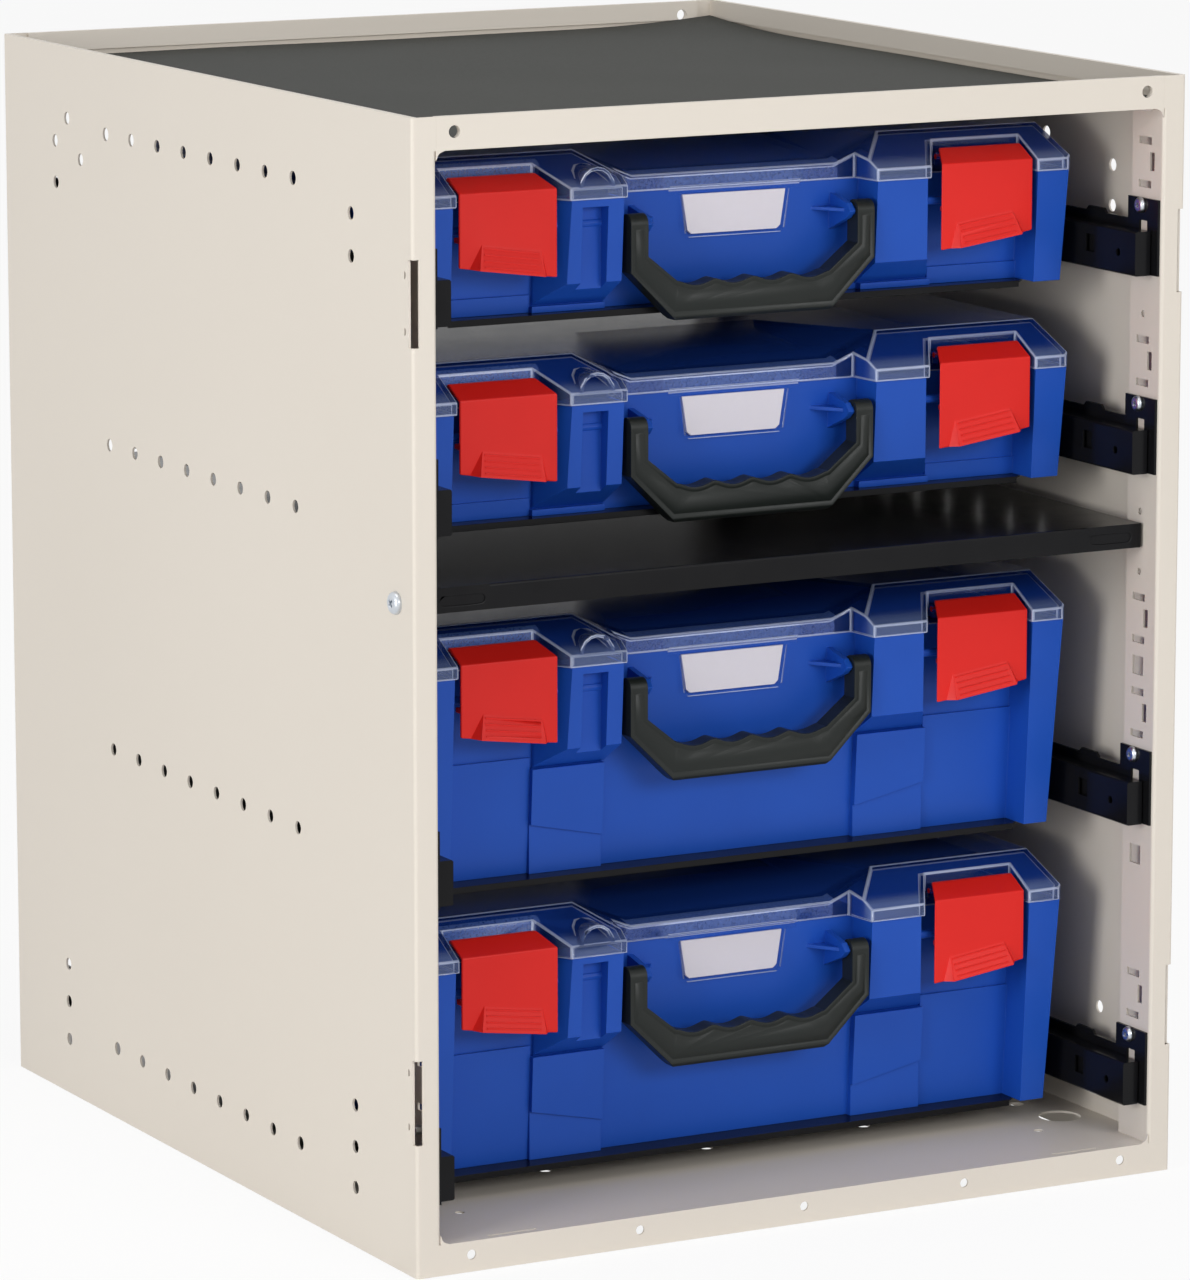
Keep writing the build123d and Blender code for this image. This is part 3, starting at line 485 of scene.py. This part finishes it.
def merged_copy(node, name):
    """A copy of a solid's mesh as one closed surface, ready to be shaped."""
    source = frame["nodes"][node]
    piece = source.copy()
    piece.data = source.data.copy()
    piece.name = name
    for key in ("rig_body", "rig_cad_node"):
        if key in piece:
            del piece[key]
    bpy.context.collection.objects.link(piece)
    select_only(piece)
    bpy.ops.object.mode_set(mode="EDIT")
    bpy.ops.mesh.select_all(action="SELECT")
    bpy.ops.mesh.remove_doubles(threshold=MERGE_DISTANCE * MM)
    bpy.ops.mesh.dissolve_limited(angle_limit=radians(FLAT_ANGLE))
    bpy.ops.object.mode_set(mode="OBJECT")
    return piece


def dress(piece, node):
    """Give a piece its solid's place: its body and its finish, and hide the solid."""
    slot = node_slots[node]
    piece.data.materials.clear()
    piece.data.materials.append(finishes[slot])
    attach(piece, frame["nodes"][node]["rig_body"])
    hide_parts(node)


# %% [markdown]
# The punched holes come from CAD with eight flat sides, which is enough for the
# solid. The eye wants them round. Each corner of such a hole is a short edge
# through the sheet, turned by 45 degrees, so we pick those edges by their
# length and angle and bevel them in edit mode, which leaves 24 sides.

# %% Rounder holes
SHEET_THROUGH = 2.6 * MM
HOLE_SIDE_AREA = 16 * SQUARE_MM
HOLE_TURN = (20, 50)
SHARE_OF_SIDE = 27


def round_holes(piece):
    """Round the corners of every small eight-sided hole through the sheet."""
    least, most = (radians(turn) for turn in HOLE_TURN)
    select_only(piece)
    bpy.ops.object.mode_set(mode="EDIT")
    bpy.ops.mesh.select_mode(type="EDGE")
    bpy.ops.mesh.select_all(action="DESELECT")
    mesh = bmesh.from_edit_mesh(piece.data)
    picked = 0
    for edge in mesh.edges:
        if edge.calc_length() < SHEET_THROUGH and len(edge.link_faces) == 2:
            narrow = all(face.calc_area() < HOLE_SIDE_AREA for face in edge.link_faces)
            if narrow and least < edge.calc_face_angle(0.0) < most:
                edge.select_set(True)
                picked += 1
    bmesh.update_edit_mesh(piece.data)
    if picked:
        bpy.ops.mesh.bevel(offset_type="PERCENT", offset_pct=SHARE_OF_SIDE, segments=2)
    bpy.ops.object.mode_set(mode="OBJECT")
    return picked


# %% [markdown]
# The outer skin of each side panel has four half-moon lances beside the long
# slots in its front bend, where a tool has pressed the metal. They are cut with
# a Boolean modifier from small half cylinders: a cylinder is laid across the
# skin, and bisect takes its rear half away.

# %% Cutters for the lances
LANCE_Y = -248.7
LANCE_HEIGHTS = (523.7, 494.7, 108.6, 79.8)
LANCE_RADIUS = 2.0
LANCE_CUTTER_LENGTH = 4.0
HALF_WIDTH = 232.0


def lance_cutters(side):
    """Half cylinders that stand in the skin where the lances are."""
    bpy.ops.object.select_all(action="DESELECT")
    made = []
    for height in LANCE_HEIGHTS:
        bpy.ops.mesh.primitive_cylinder_add(
            vertices=24, radius=LANCE_RADIUS * MM, depth=LANCE_CUTTER_LENGTH * MM,
            location=(side * HALF_WIDTH * MM, LANCE_Y * MM, height * MM),
            rotation=(0, radians(90), 0),
        )
        cutter = bpy.context.object
        bpy.ops.object.transform_apply(location=True, rotation=True, scale=True)
        bpy.ops.object.mode_set(mode="EDIT")
        bpy.ops.mesh.select_all(action="SELECT")
        bpy.ops.mesh.bisect(
            plane_co=(0, LANCE_Y * MM, 0), plane_no=(0, 1, 0), clear_outer=True, use_fill=True
        )
        bpy.ops.object.mode_set(mode="OBJECT")
        made.append(cutter)
    for cutter in made:
        cutter.select_set(True)
    bpy.ops.object.join()
    return bpy.context.object


def cut_away(piece, cutter):
    """Subtract one closed mesh from another, and remove the cutter."""
    cut = piece.modifiers.new("cut", "BOOLEAN")
    cut.operation = "DIFFERENCE"
    cut.solver = "EXACT"
    cut.object = cutter
    apply_all(piece)
    bpy.data.objects.remove(cutter, do_unlink=True)


# %% [markdown]
# The cabinet's four sheets can now be made: copied, their holes rounded, the
# side panels lanced, and every edge given the small radius that paint leaves.

# %% Cabinet sheets
PAINTED_EDGE = 0.35

for node, side in (("side_panel_left", -1), ("side_panel_right", 1)):
    panel = merged_copy(node, f"{node}_dressed")
    rounded = round_holes(panel)
    cut_away(panel, lance_cutters(side))
    soften(panel, PAINTED_EDGE)
    dress(panel, node)
    print(node, "hole corners rounded", rounded, "faces", len(panel.data.polygons))

for node in ("top_panel", "bottom_panel"):
    panel = merged_copy(node, f"{node}_dressed")
    rounded = round_holes(panel)
    soften(panel, PAINTED_EDGE)
    dress(panel, node)
    print(node, "hole corners rounded", rounded, "faces", len(panel.data.polygons))

# %% [markdown]
# Where the rails meet the side panels inside the opening, the corner is joined
# by a short weld that the paint has covered. It shows as a soft bead, so we
# squash a sphere along the corner and make it a little uneven.

# %% Corner welds
WELD_PLACES = ((216.6, -240.0, 585.8), (-216.6, -240.0, 585.8))
WELD_SIZE = (2.6, 9.0, 2.2)
WELD_UNEVENNESS = 0.25 * MM


def weld(number, place):
    """One painted bead along a corner, given in mm."""
    bpy.ops.object.select_all(action="DESELECT")
    bpy.ops.mesh.primitive_uv_sphere_add(
        segments=24, ring_count=12, radius=MM, location=[v * MM for v in place], scale=WELD_SIZE
    )
    bead = bpy.context.object
    bead.name = f"corner_weld_{number}"
    bpy.ops.object.transform_apply(location=True, rotation=True, scale=True)
    bpy.ops.object.mode_set(mode="EDIT")
    bpy.ops.mesh.select_all(action="SELECT")
    bpy.ops.transform.vertex_random(offset=WELD_UNEVENNESS, seed=number)
    bpy.ops.object.mode_set(mode="OBJECT")
    bpy.ops.object.shade_smooth()
    bead.data.materials.append(finishes["cabinet_paint"])
    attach(bead, "cabinet")
    print(bead.name, "at", place)


for number, place in enumerate(WELD_PLACES, 1):
    weld(number, place)

# %% [markdown]
# The mat is a loose sheet of rubber. Rubber that was rolled up never lies quite
# flat again: the far right corner stands up a little and the sheet is faintly
# wavy. We build it as a fine grid, lift it by a formula, thicken it with
# Solidify and round its edge.

# %% Mat
MAT_THICKNESS = 2.6 * MM
MAT_GAP = 0.2 * MM
MAT_EDGE = 0.7
CORNER_LIFT = 5.0 * MM
CORNER_REACH = 0.11
WAVE = 0.35 * MM
WAVES_ACROSS = 31
WAVES_ALONG = 17


def mat_height(flat, corner):
    """How far a point of the mat stands above the tray."""
    near = max(0.0, 1 - (flat - corner).length / CORNER_REACH)
    wave = WAVE * (1 + sin(flat.x * WAVES_ACROSS + 2 * sin(flat.y * WAVES_ALONG)))
    return CORNER_LIFT * near * near + wave * 0.5


def mat():
    """The rubber sheet, a small gap inside its solid's outline."""
    low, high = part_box("top_mat")
    half_x, half_y = (high[0] - low[0]) / 2, (high[1] - low[1]) / 2
    bpy.ops.object.select_all(action="DESELECT")
    bpy.ops.mesh.primitive_grid_add(
        x_subdivisions=90, y_subdivisions=100, size=2, location=(0, 0, low[2])
    )
    piece = bpy.context.object
    piece.name = "top_mat_dressed"
    piece.scale = (half_x - MAT_GAP, half_y - MAT_GAP, 1)
    bpy.ops.object.transform_apply(location=True, rotation=True, scale=True)
    corner = Vector((half_x, half_y))
    for vertex in piece.data.vertices:
        vertex.co.z += mat_height(vertex.co.xy, corner)
    bpy.ops.object.mode_set(mode="EDIT")
    bpy.ops.mesh.select_all(action="SELECT")
    bpy.ops.mesh.normals_make_consistent(inside=False)
    bpy.ops.object.mode_set(mode="OBJECT")
    skin = piece.modifiers.new("thickness", "SOLIDIFY")
    skin.thickness = MAT_THICKNESS
    skin.offset = 1
    apply_all(piece)
    soften(piece, MAT_EDGE, segments=2, angle=60)
    dress(piece, "top_mat")
    print("mat", round(2 * half_x / MM), "by", round(2 * half_y / MM), "mm")


mat()

# %% [markdown]
# The screws are zinc-plated pan heads with a cross recess. One is modelled from
# a cylinder: its foot is inset and pulled down into the shank, its rim is
# bevelled into a low dome, and the recess is cut by two tapered bars. All its
# measures are shares of the head's width, so one recipe serves both sizes.

# %% Cross recess
SCREW_HEAD_RISE = 0.30
RECESS_ARM = 0.52
RECESS_WIDTH = 0.15
RECESS_DEPTH = 0.36
RECESS_TAPER = 0.55
FACING = 0.9


def pick_faces_below(piece):
    """Select, in edit mode, the faces that look down."""
    bpy.ops.mesh.select_all(action="DESELECT")
    mesh = bmesh.from_edit_mesh(piece.data)
    for face in mesh.faces:
        face.select_set(face.normal.z < -FACING)
    bmesh.update_edit_mesh(piece.data)


def recess_bar(head, turn):
    """One bar of the cross, narrower at its foot."""
    bpy.ops.mesh.primitive_cube_add(
        size=1, location=(0, 0, head * SCREW_HEAD_RISE), rotation=(0, 0, turn)
    )
    bar = bpy.context.object
    bar.scale = (head * RECESS_ARM, head * RECESS_WIDTH, head * RECESS_DEPTH)
    bpy.ops.object.transform_apply(location=True, rotation=True, scale=True)
    bpy.ops.object.mode_set(mode="EDIT")
    pick_faces_below(bar)
    bpy.ops.transform.resize(value=(RECESS_TAPER, RECESS_TAPER, 1))
    bpy.ops.object.mode_set(mode="OBJECT")
    return bar


# %% [markdown]
# The screw itself stands up with its seat at the origin, so that it can later
# be turned and moved to any hole as a whole.

# %% Pan-head screw
DOME = 0.75
RIM_SHARE = 0.99
SCREW_EDGE = 0.012


def pan_screw(name, head, shank, length):
    """One screw, standing up with its seat at the origin."""
    bpy.ops.object.select_all(action="DESELECT")
    rise = head * SCREW_HEAD_RISE
    bpy.ops.mesh.primitive_cylinder_add(
        vertices=40, radius=head / 2, depth=rise, location=(0, 0, rise / 2)
    )
    screw = bpy.context.object
    screw.name = name
    bpy.ops.object.transform_apply(location=True, rotation=True, scale=True)
    bpy.ops.object.mode_set(mode="EDIT")
    bpy.ops.mesh.select_mode(type="FACE")
    pick_faces_below(screw)
    bpy.ops.mesh.inset(thickness=(head - shank) / 2)
    bpy.ops.mesh.extrude_region_move(TRANSFORM_OT_translate={"value": (0, 0, -length)})
    bpy.ops.mesh.select_mode(type="EDGE")
    bpy.ops.mesh.select_all(action="DESELECT")
    mesh = bmesh.from_edit_mesh(screw.data)
    for edge in mesh.edges:
        at_top = all(vertex.co.z > rise * RIM_SHARE for vertex in edge.verts)
        edge.select_set(at_top and len(edge.link_faces) == 2 and edge.calc_face_angle(0) > 1)
    bmesh.update_edit_mesh(screw.data)
    bpy.ops.mesh.bevel(offset=rise * DOME, segments=5, profile=0.5)
    bpy.ops.object.mode_set(mode="OBJECT")
    first, second = recess_bar(head, radians(45)), recess_bar(head, radians(135))
    cut_away(screw, first)
    cut_away(screw, second)
    soften(screw, head / MM * SCREW_EDGE, segments=1)
    return screw


# %% [markdown]
# Two sizes of screw are used. The shelf hangs on one at each side of its front,
# driven from outside. Each fixed slide member has one in the bracket at each of
# its ends, driven from inside, so their heights are read from those members.
# The screw is copied to every place, each copy with its own mesh, and all the
# screws of one size are joined, because they share one node.

# %% Screws in place
SHELF_SCREW = {"head": 12.0, "shank": 6.0, "length": 19.0, "y": 238.2, "z": 353.6, "seat": 232.0}
SLIDE_SCREW = {"head": 8.6, "shank": 5.0, "length": 7.5, "y": 239.0, "seat": 216.5}
SCREW_UNDER_TOP = 4.0
CASES = (1, 2, 3, 4)


def seat(spec, side, end, height, outward):
    """A screw's seat and the way its head faces.

    The side is -1 or 1 for left or right, the end -1 or 1 for front or rear, and
    outward is 1 for a head outside the wall and -1 for one inside.
    """
    return (side * spec["seat"] * MM, end * spec["y"] * MM, height), (outward * side, 0, 0)


def set_of_screws(node, spec, seats):
    """Model one screw, and copy it to each seat."""
    sizes = [spec[part] * MM for part in ("head", "shank", "length")]
    master = pan_screw(f"{node}_master", *sizes)
    copies = []
    for point, direction in seats:
        copy = master.copy()
        copy.data = master.data.copy()
        bpy.context.collection.objects.link(copy)
        turn = Vector((0, 0, 1)).rotation_difference(Vector(direction)).to_matrix().to_4x4()
        copy.data.transform(Matrix.Translation(Vector(point)) @ turn)
        copies.append(copy)
    bpy.ops.object.select_all(action="DESELECT")
    for copy in copies:
        copy.select_set(True)
    bpy.context.view_layer.objects.active = copies[0]
    bpy.ops.object.join()
    bpy.data.objects.remove(master, do_unlink=True)
    joined = bpy.context.object
    joined.name = f"{node}_dressed"
    dress(joined, node)
    print(node, len(copies), "screws")


def slide_screw_height(number):
    """The height of the slide screws of one tray, just under the slide's top edge."""
    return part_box(f"slide_fixed_left_{number}")[1][2] - SCREW_UNDER_TOP * MM


shelf_seats = [seat(SHELF_SCREW, side, -1, SHELF_SCREW["z"] * MM, 1) for side in (-1, 1)]
set_of_screws("shelf_screws", SHELF_SCREW, shelf_seats)
slide_seats = [
    seat(SLIDE_SCREW, side, end, slide_screw_height(number), -1)
    for side in (-1, 1) for end in (-1, 1) for number in CASES
]
set_of_screws("slide_screws", SLIDE_SCREW, slide_seats)

# %% [markdown]
# The shelf's front has two pressed ovals, which stiffen it. In the solid they
# are flat-bottomed and sharp. We press them a little deeper and round their
# mouths. A face with a hole in it can't be bevelled cleanly, so the front is
# first cut along upright planes, and each oval gets a face to itself.

# %% Ovals in the shelf's front
EMBOSS_LIP = 0.7 * MM
EMBOSS_PRESS = 0.2 * MM
SHELF_FRONT = -0.244
BEHIND_FRONT = (0.1 * MM, 2 * MM)
BESIDE_OVALS = (-0.213, -0.181, 0.181, 0.213)
SHELF_CORNER = 0.214
LARGEST_OVAL = 200 * SQUARE_MM
LONGEST_MOUTH_EDGE = 30 * MM
MOUTH_TURN = 40
TOUCHING = 0.01 * MM


def cut_upright(piece, places):
    """Cut the piece's faces along upright planes."""
    select_only(piece)
    bpy.ops.object.mode_set(mode="EDIT")
    for x in places:
        bpy.ops.mesh.select_all(action="SELECT")
        bpy.ops.mesh.bisect(plane_co=(x, 0, 0), plane_no=(1, 0, 0))
    bpy.ops.object.mode_set(mode="OBJECT")


def is_oval(face):
    """Whether a face is the floor of a pressed oval."""
    behind = face.calc_center_median().y - SHELF_FRONT
    facing = face.normal.y < -FACING and face.calc_area() < LARGEST_OVAL
    return facing and BEHIND_FRONT[0] < behind < BEHIND_FRONT[1]


def is_mouth(edge):
    """Whether an edge is on the rim of a pressed oval."""
    middle = (edge.verts[0].co + edge.verts[1].co) / 2
    in_front = all(abs(vertex.co.y - SHELF_FRONT) < TOUCHING for vertex in edge.verts)
    short = edge.calc_length() < LONGEST_MOUTH_EDGE and abs(middle.x) < SHELF_CORNER
    return in_front and short and edge.calc_face_angle(0.0) > radians(MOUTH_TURN)


def press_emboss(piece):
    """Press the two ovals in the shelf's front deeper, and round their mouths."""
    select_only(piece)
    bpy.ops.object.mode_set(mode="EDIT")
    bpy.ops.mesh.select_mode(type="FACE")
    bpy.ops.mesh.select_all(action="DESELECT")
    mesh = bmesh.from_edit_mesh(piece.data)
    for face in mesh.faces:
        face.select_set(is_oval(face))
    bmesh.update_edit_mesh(piece.data)
    bpy.ops.transform.translate(value=(0, EMBOSS_PRESS, 0))
    bpy.ops.mesh.select_mode(type="EDGE")
    bpy.ops.mesh.select_all(action="DESELECT")
    mesh = bmesh.from_edit_mesh(piece.data)
    for edge in mesh.edges:
        edge.select_set(is_mouth(edge))
    bmesh.update_edit_mesh(piece.data)
    bpy.ops.mesh.bevel(offset=EMBOSS_LIP, segments=3)
    bpy.ops.object.mode_set(mode="OBJECT")


# %% [markdown]
# The shelf, the trays and the slides are bent sheet in gloss black. Their
# rounded edges carry thin bright lines, which is most of what shows of them.

# %% Shelf, trays and slides
SHELF_BEND = 1.5
LARGE_SHELF_FACE = 900
SHELF_EDGE = 0.25
SLIDE_EDGE = 0.4


def is_black_sheet(node):
    """Whether a node is the shelf, a tray or a slide member."""
    return node.startswith(("shelf", "tray_", "slide_")) and "screw" not in node


black_nodes = [node for node in sorted(frame["nodes"]) if is_black_sheet(node)]
for node in black_nodes:
    piece = merged_copy(node, f"{node}_dressed")
    if node == "shelf":
        cut_upright(piece, BESIDE_OVALS)
    round_holes(piece)
    if node == "shelf":
        round_edges(piece, SHELF_BEND, LARGE_SHELF_FACE)
        press_emboss(piece)
    soften(piece, SHELF_EDGE if node == "shelf" else SLIDE_EDGE)
    dress(piece, node)
print("black pieces", len(black_nodes))

# %% [markdown]
# The case bodies have generous radii from the mould, so their bevel is wide. A lid's rims are
# thin, and the faces of its long rounded edges are marked for the painted edge highlight of the
# clear plastic: the bevel puts them in a second slot, we copy the slot numbers to a face
# attribute, and the piece gets its one finish again when it is dressed.

# %% Case bodies, lids and labels
BODY_EDGE = 0.7
LID_EDGES = (0.85, 0.45)
LARGE_LID_FACE = 20
THIN_EDGE = 0.3


def body(number):
    """Soften and dress one case body."""
    node = f"case_body_{number}"
    piece = merged_copy(node, f"{node}_dressed")
    soften(piece, BODY_EDGE)
    dress(piece, node)


def mark_edges(piece):
    """Copy the slot number of each face to a face attribute, read by the lid's finish for its
    painted edge highlight.
    """
    marks = [float(face.material_index) for face in piece.data.polygons]
    piece.data.attributes.new("edge_light", "FLOAT", "FACE").data.foreach_set("value", marks)
    piece.data.polygons.foreach_set("material_index", [0] * len(marks))
    return int(sum(marks))


def lid(number):
    """Round a lid's long edges, mark them, and dress it."""
    node = f"case_lid_{number}"
    piece = merged_copy(node, f"{node}_dressed")
    piece.data.materials.clear()
    for stand_in in ("large faces", "rounded faces"):
        piece.data.materials.append(bpy.data.materials.new(stand_in))
    for radius in LID_EDGES:
        round_edges(piece, radius, LARGE_LID_FACE, segments=2, slot=1)
    marked = mark_edges(piece)
    soften(piece, THIN_EDGE)
    dress(piece, node)
    return marked


def label(number):
    """Soften and dress one label card."""
    node = f"label_{number}"
    piece = merged_copy(node, f"{node}_dressed")
    soften(piece, THIN_EDGE)
    dress(piece, node)


for number in CASES:
    body(number)
    marked = lid(number)
    label(number)
    print("case", number, "edge faces of the lid", marked)

# %% [markdown]
# Latches: a flap and a plate in one moulding. Its long edges and its fold have
# a soft radius, and the ribs of the finger wedge a small one.

# %% Latches
LATCH_FOLD = 0.8
LARGE_LATCH_FACE = 50
LATCH_EDGE = 0.2

for number in CASES:
    for side in ("left", "right"):
        node = f"latch_{side}_{number}"
        piece = merged_copy(node, f"{node}_dressed")
        round_edges(piece, LATCH_FOLD, LARGE_LATCH_FACE)
        soften(piece, LATCH_EDGE)
        dress(piece, node)
        print(node, "faces", len(piece.data.polygons))

# %% [markdown]
# The finger hollows along the top of a handle's grip meet in sharp peaks in the
# solid. In the real one they are one soft wave. We divide the edges of the
# hollows and set the height of each point by a formula: a sine whose sharp
# turns are eased.

# %% Finger hollows
HOLLOWS_HALF = 0.0461
HOLLOW_PITCH = 0.023
HOLLOW_DEPTH = 3.6 * MM
HOLLOW_UNDER, HOLLOW_OVER = 0.7 * MM, 0.1 * MM
SHORTEST_DIVIDED = 0.2 * MM
PEAK_SOFTNESS = 0.3
GRIP_TOP = 0.021


def in_hollows(vertex, top):
    """Whether a vertex is on the outline of the finger hollows."""
    height = vertex.co.z - top
    in_height = -HOLLOW_DEPTH - HOLLOW_UNDER < height < HOLLOW_OVER
    return abs(vertex.co.x) < HOLLOWS_HALF and in_height


def ease_hollows(piece, low):
    """Turn the sharp-peaked finger hollows into one soft wave."""
    top = low + GRIP_TOP
    select_only(piece)
    bpy.ops.object.mode_set(mode="EDIT")
    bpy.ops.mesh.select_mode(type="EDGE")
    bpy.ops.mesh.select_all(action="DESELECT")
    mesh = bmesh.from_edit_mesh(piece.data)
    for edge in mesh.edges:
        inside = all(in_hollows(vertex, top) for vertex in edge.verts)
        across = abs(edge.verts[0].co.x - edge.verts[1].co.x)
        edge.select_set(inside and across > SHORTEST_DIVIDED)
    bmesh.update_edit_mesh(piece.data)
    bpy.ops.mesh.subdivide(number_cuts=2)
    mesh = bmesh.from_edit_mesh(piece.data)
    moved = [vertex for vertex in mesh.verts if in_hollows(vertex, top)]
    for vertex in moved:
        swing = hypot(sin(pi * vertex.co.x / HOLLOW_PITCH), PEAK_SOFTNESS) - PEAK_SOFTNESS
        vertex.co.z = top - HOLLOW_DEPTH * swing
    bmesh.update_edit_mesh(piece.data)
    bpy.ops.object.mode_set(mode="OBJECT")
    return len(moved)


# %% [markdown]
# The handle's arms and grip are one thick moulding with round shoulders. On
# the front a shallow line runs parallel to the outline, where two mould halves
# leave a raised panel. We round the edges first, then inset the flat front
# face, and press a second inset in and out again.

# %% Handles
HANDLE_EDGE = 1.8
PANEL_MARGIN = 1.6 * MM
PANEL_LINE = 0.5 * MM
PANEL_DEPTH = 0.35 * MM
PANEL_SHADING = 35
FLAT_FRONT = 0.99


def raised_panel(piece):
    """Press a line into the flat front face, parallel to its outline."""
    bpy.ops.object.mode_set(mode="EDIT")
    bpy.ops.mesh.select_mode(type="FACE")
    bpy.ops.mesh.select_all(action="DESELECT")
    mesh = bmesh.from_edit_mesh(piece.data)
    fronts = [face for face in mesh.faces if face.normal.y < -FLAT_FRONT]
    largest = max(fronts, key=lambda face: face.calc_area())
    largest.select_set(True)
    bmesh.update_edit_mesh(piece.data)
    bpy.ops.mesh.inset(thickness=PANEL_MARGIN)
    bpy.ops.mesh.inset(thickness=PANEL_LINE, depth=-PANEL_DEPTH)
    bpy.ops.mesh.inset(thickness=PANEL_LINE, depth=PANEL_DEPTH)
    bpy.ops.object.mode_set(mode="OBJECT")
    bpy.ops.object.shade_smooth_by_angle(angle=radians(PANEL_SHADING))


for number in CASES:
    node = f"handle_{number}"
    piece = merged_copy(node, f"{node}_dressed")
    moved = ease_hollows(piece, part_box(node)[0][2])
    soften(piece, HANDLE_EDGE, segments=4)
    raised_panel(piece)
    dress(piece, node)
    print(node, "points moved", moved)

# %% [markdown]
# The studio is a pale floor under an even pale sky. To the camera, and to
# glossy and clear surfaces, the sky is pure white; the rest of the light stays
# at its own level, so that the object keeps its colours. The floor is nearly
# white to the camera as well, but lets a little of the object's shadow through.

# %% Sky and floor
SKY_LEVEL = 0.38
FLOOR_WHITENESS = 0.9
FLOOR_SIZE = 14
FLOOR_HEIGHT = -0.5 * MM
FLOOR_GREY = 0.92


def background_rays(tree):
    """1 for a ray that shows the background: to the camera, or by way of gloss or glass."""
    path = tree.nodes.new("ShaderNodeLightPath")
    seen = Wire(tree, path.outputs["Is Camera Ray"])
    glossy = Wire(tree, path.outputs["Is Glossy Ray"])
    passing = Wire(tree, path.outputs["Is Transmission Ray"])
    return seen.math("MAXIMUM", seen, glossy.math("MAXIMUM", glossy, passing))


def studio_sky():
    """An even sky: white as a background, and weaker as a light."""
    sky = bpy.data.worlds.new("studio")
    bpy.context.scene.world = sky
    sky.use_nodes = True
    tree = sky.node_tree
    background = tree.nodes["Background"]
    background.inputs["Color"].default_value = (1, 1, 1, 1)
    strength = background_rays(tree) * (1 - SKY_LEVEL) + SKY_LEVEL
    plug(tree, background.inputs["Strength"], strength)


def floor():
    """A pale floor that is nearly white as a background, and keeps the shadow."""
    bpy.ops.mesh.primitive_plane_add(size=FLOOR_SIZE, location=(0, 0, FLOOR_HEIGHT))
    ground = bpy.context.object
    ground.name = "floor"
    material, tree, shader, coords = new_finish("studio floor")
    shader.inputs["Base Color"].default_value = (FLOOR_GREY, FLOOR_GREY, FLOOR_GREY, 1)
    shader.inputs["Roughness"].default_value = 0.9
    white = coords.node("ShaderNodeEmission", Color=(1, 1, 1, 1), Strength=1.0)
    rays = background_rays(tree)
    lit = Wire(tree, shader.outputs[0])
    mixed = coords.node("ShaderNodeMixShader", i0=rays * FLOOR_WHITENESS, i1=lit, i2=white)
    plug(tree, tree.nodes["Material Output"].inputs["Surface"], mixed)
    ground.data.materials.append(material)


studio_sky()
floor()
print("sky level", SKY_LEVEL, "floor whiteness", FLOOR_WHITENESS)

# %% [markdown]
# Two broad lamps, one at the left and one in front, light the side panel and
# the open front about alike, as in the photograph. A weak one above lifts the
# mat and the tops of the rails. All three look at the cabinet's middle.

# %% Lamps
CENTRE = (0, 0, 0.3)
LAMPS = {
    "side lamp": {"place": (-3.3, -1.3, 0.9), "size": (1.3, 1.5), "power": 52},
    "front lamp": {"place": (0.6, -4.0, 1.6), "size": (2.0, 1.2), "power": 56},
    "top lamp": {"place": (0, -0.4, 2.8), "size": (1.6, 1.2), "power": 14},
}


def area_lamp(name, place, size, power):
    """A rectangular lamp that looks at the cabinet's middle."""
    bpy.ops.object.light_add(type="AREA", location=place)
    lamp = bpy.context.object
    lamp.name = name
    lamp.data.shape = "RECTANGLE"
    lamp.data.size, lamp.data.size_y = size
    lamp.data.energy = power
    aim = Vector(CENTRE) - Vector(place)
    lamp.rotation_euler = aim.to_track_quat("-Z", "Y").to_euler()


for name, lamp in LAMPS.items():
    area_lamp(name, **lamp)
print("lamps", ", ".join(LAMPS))
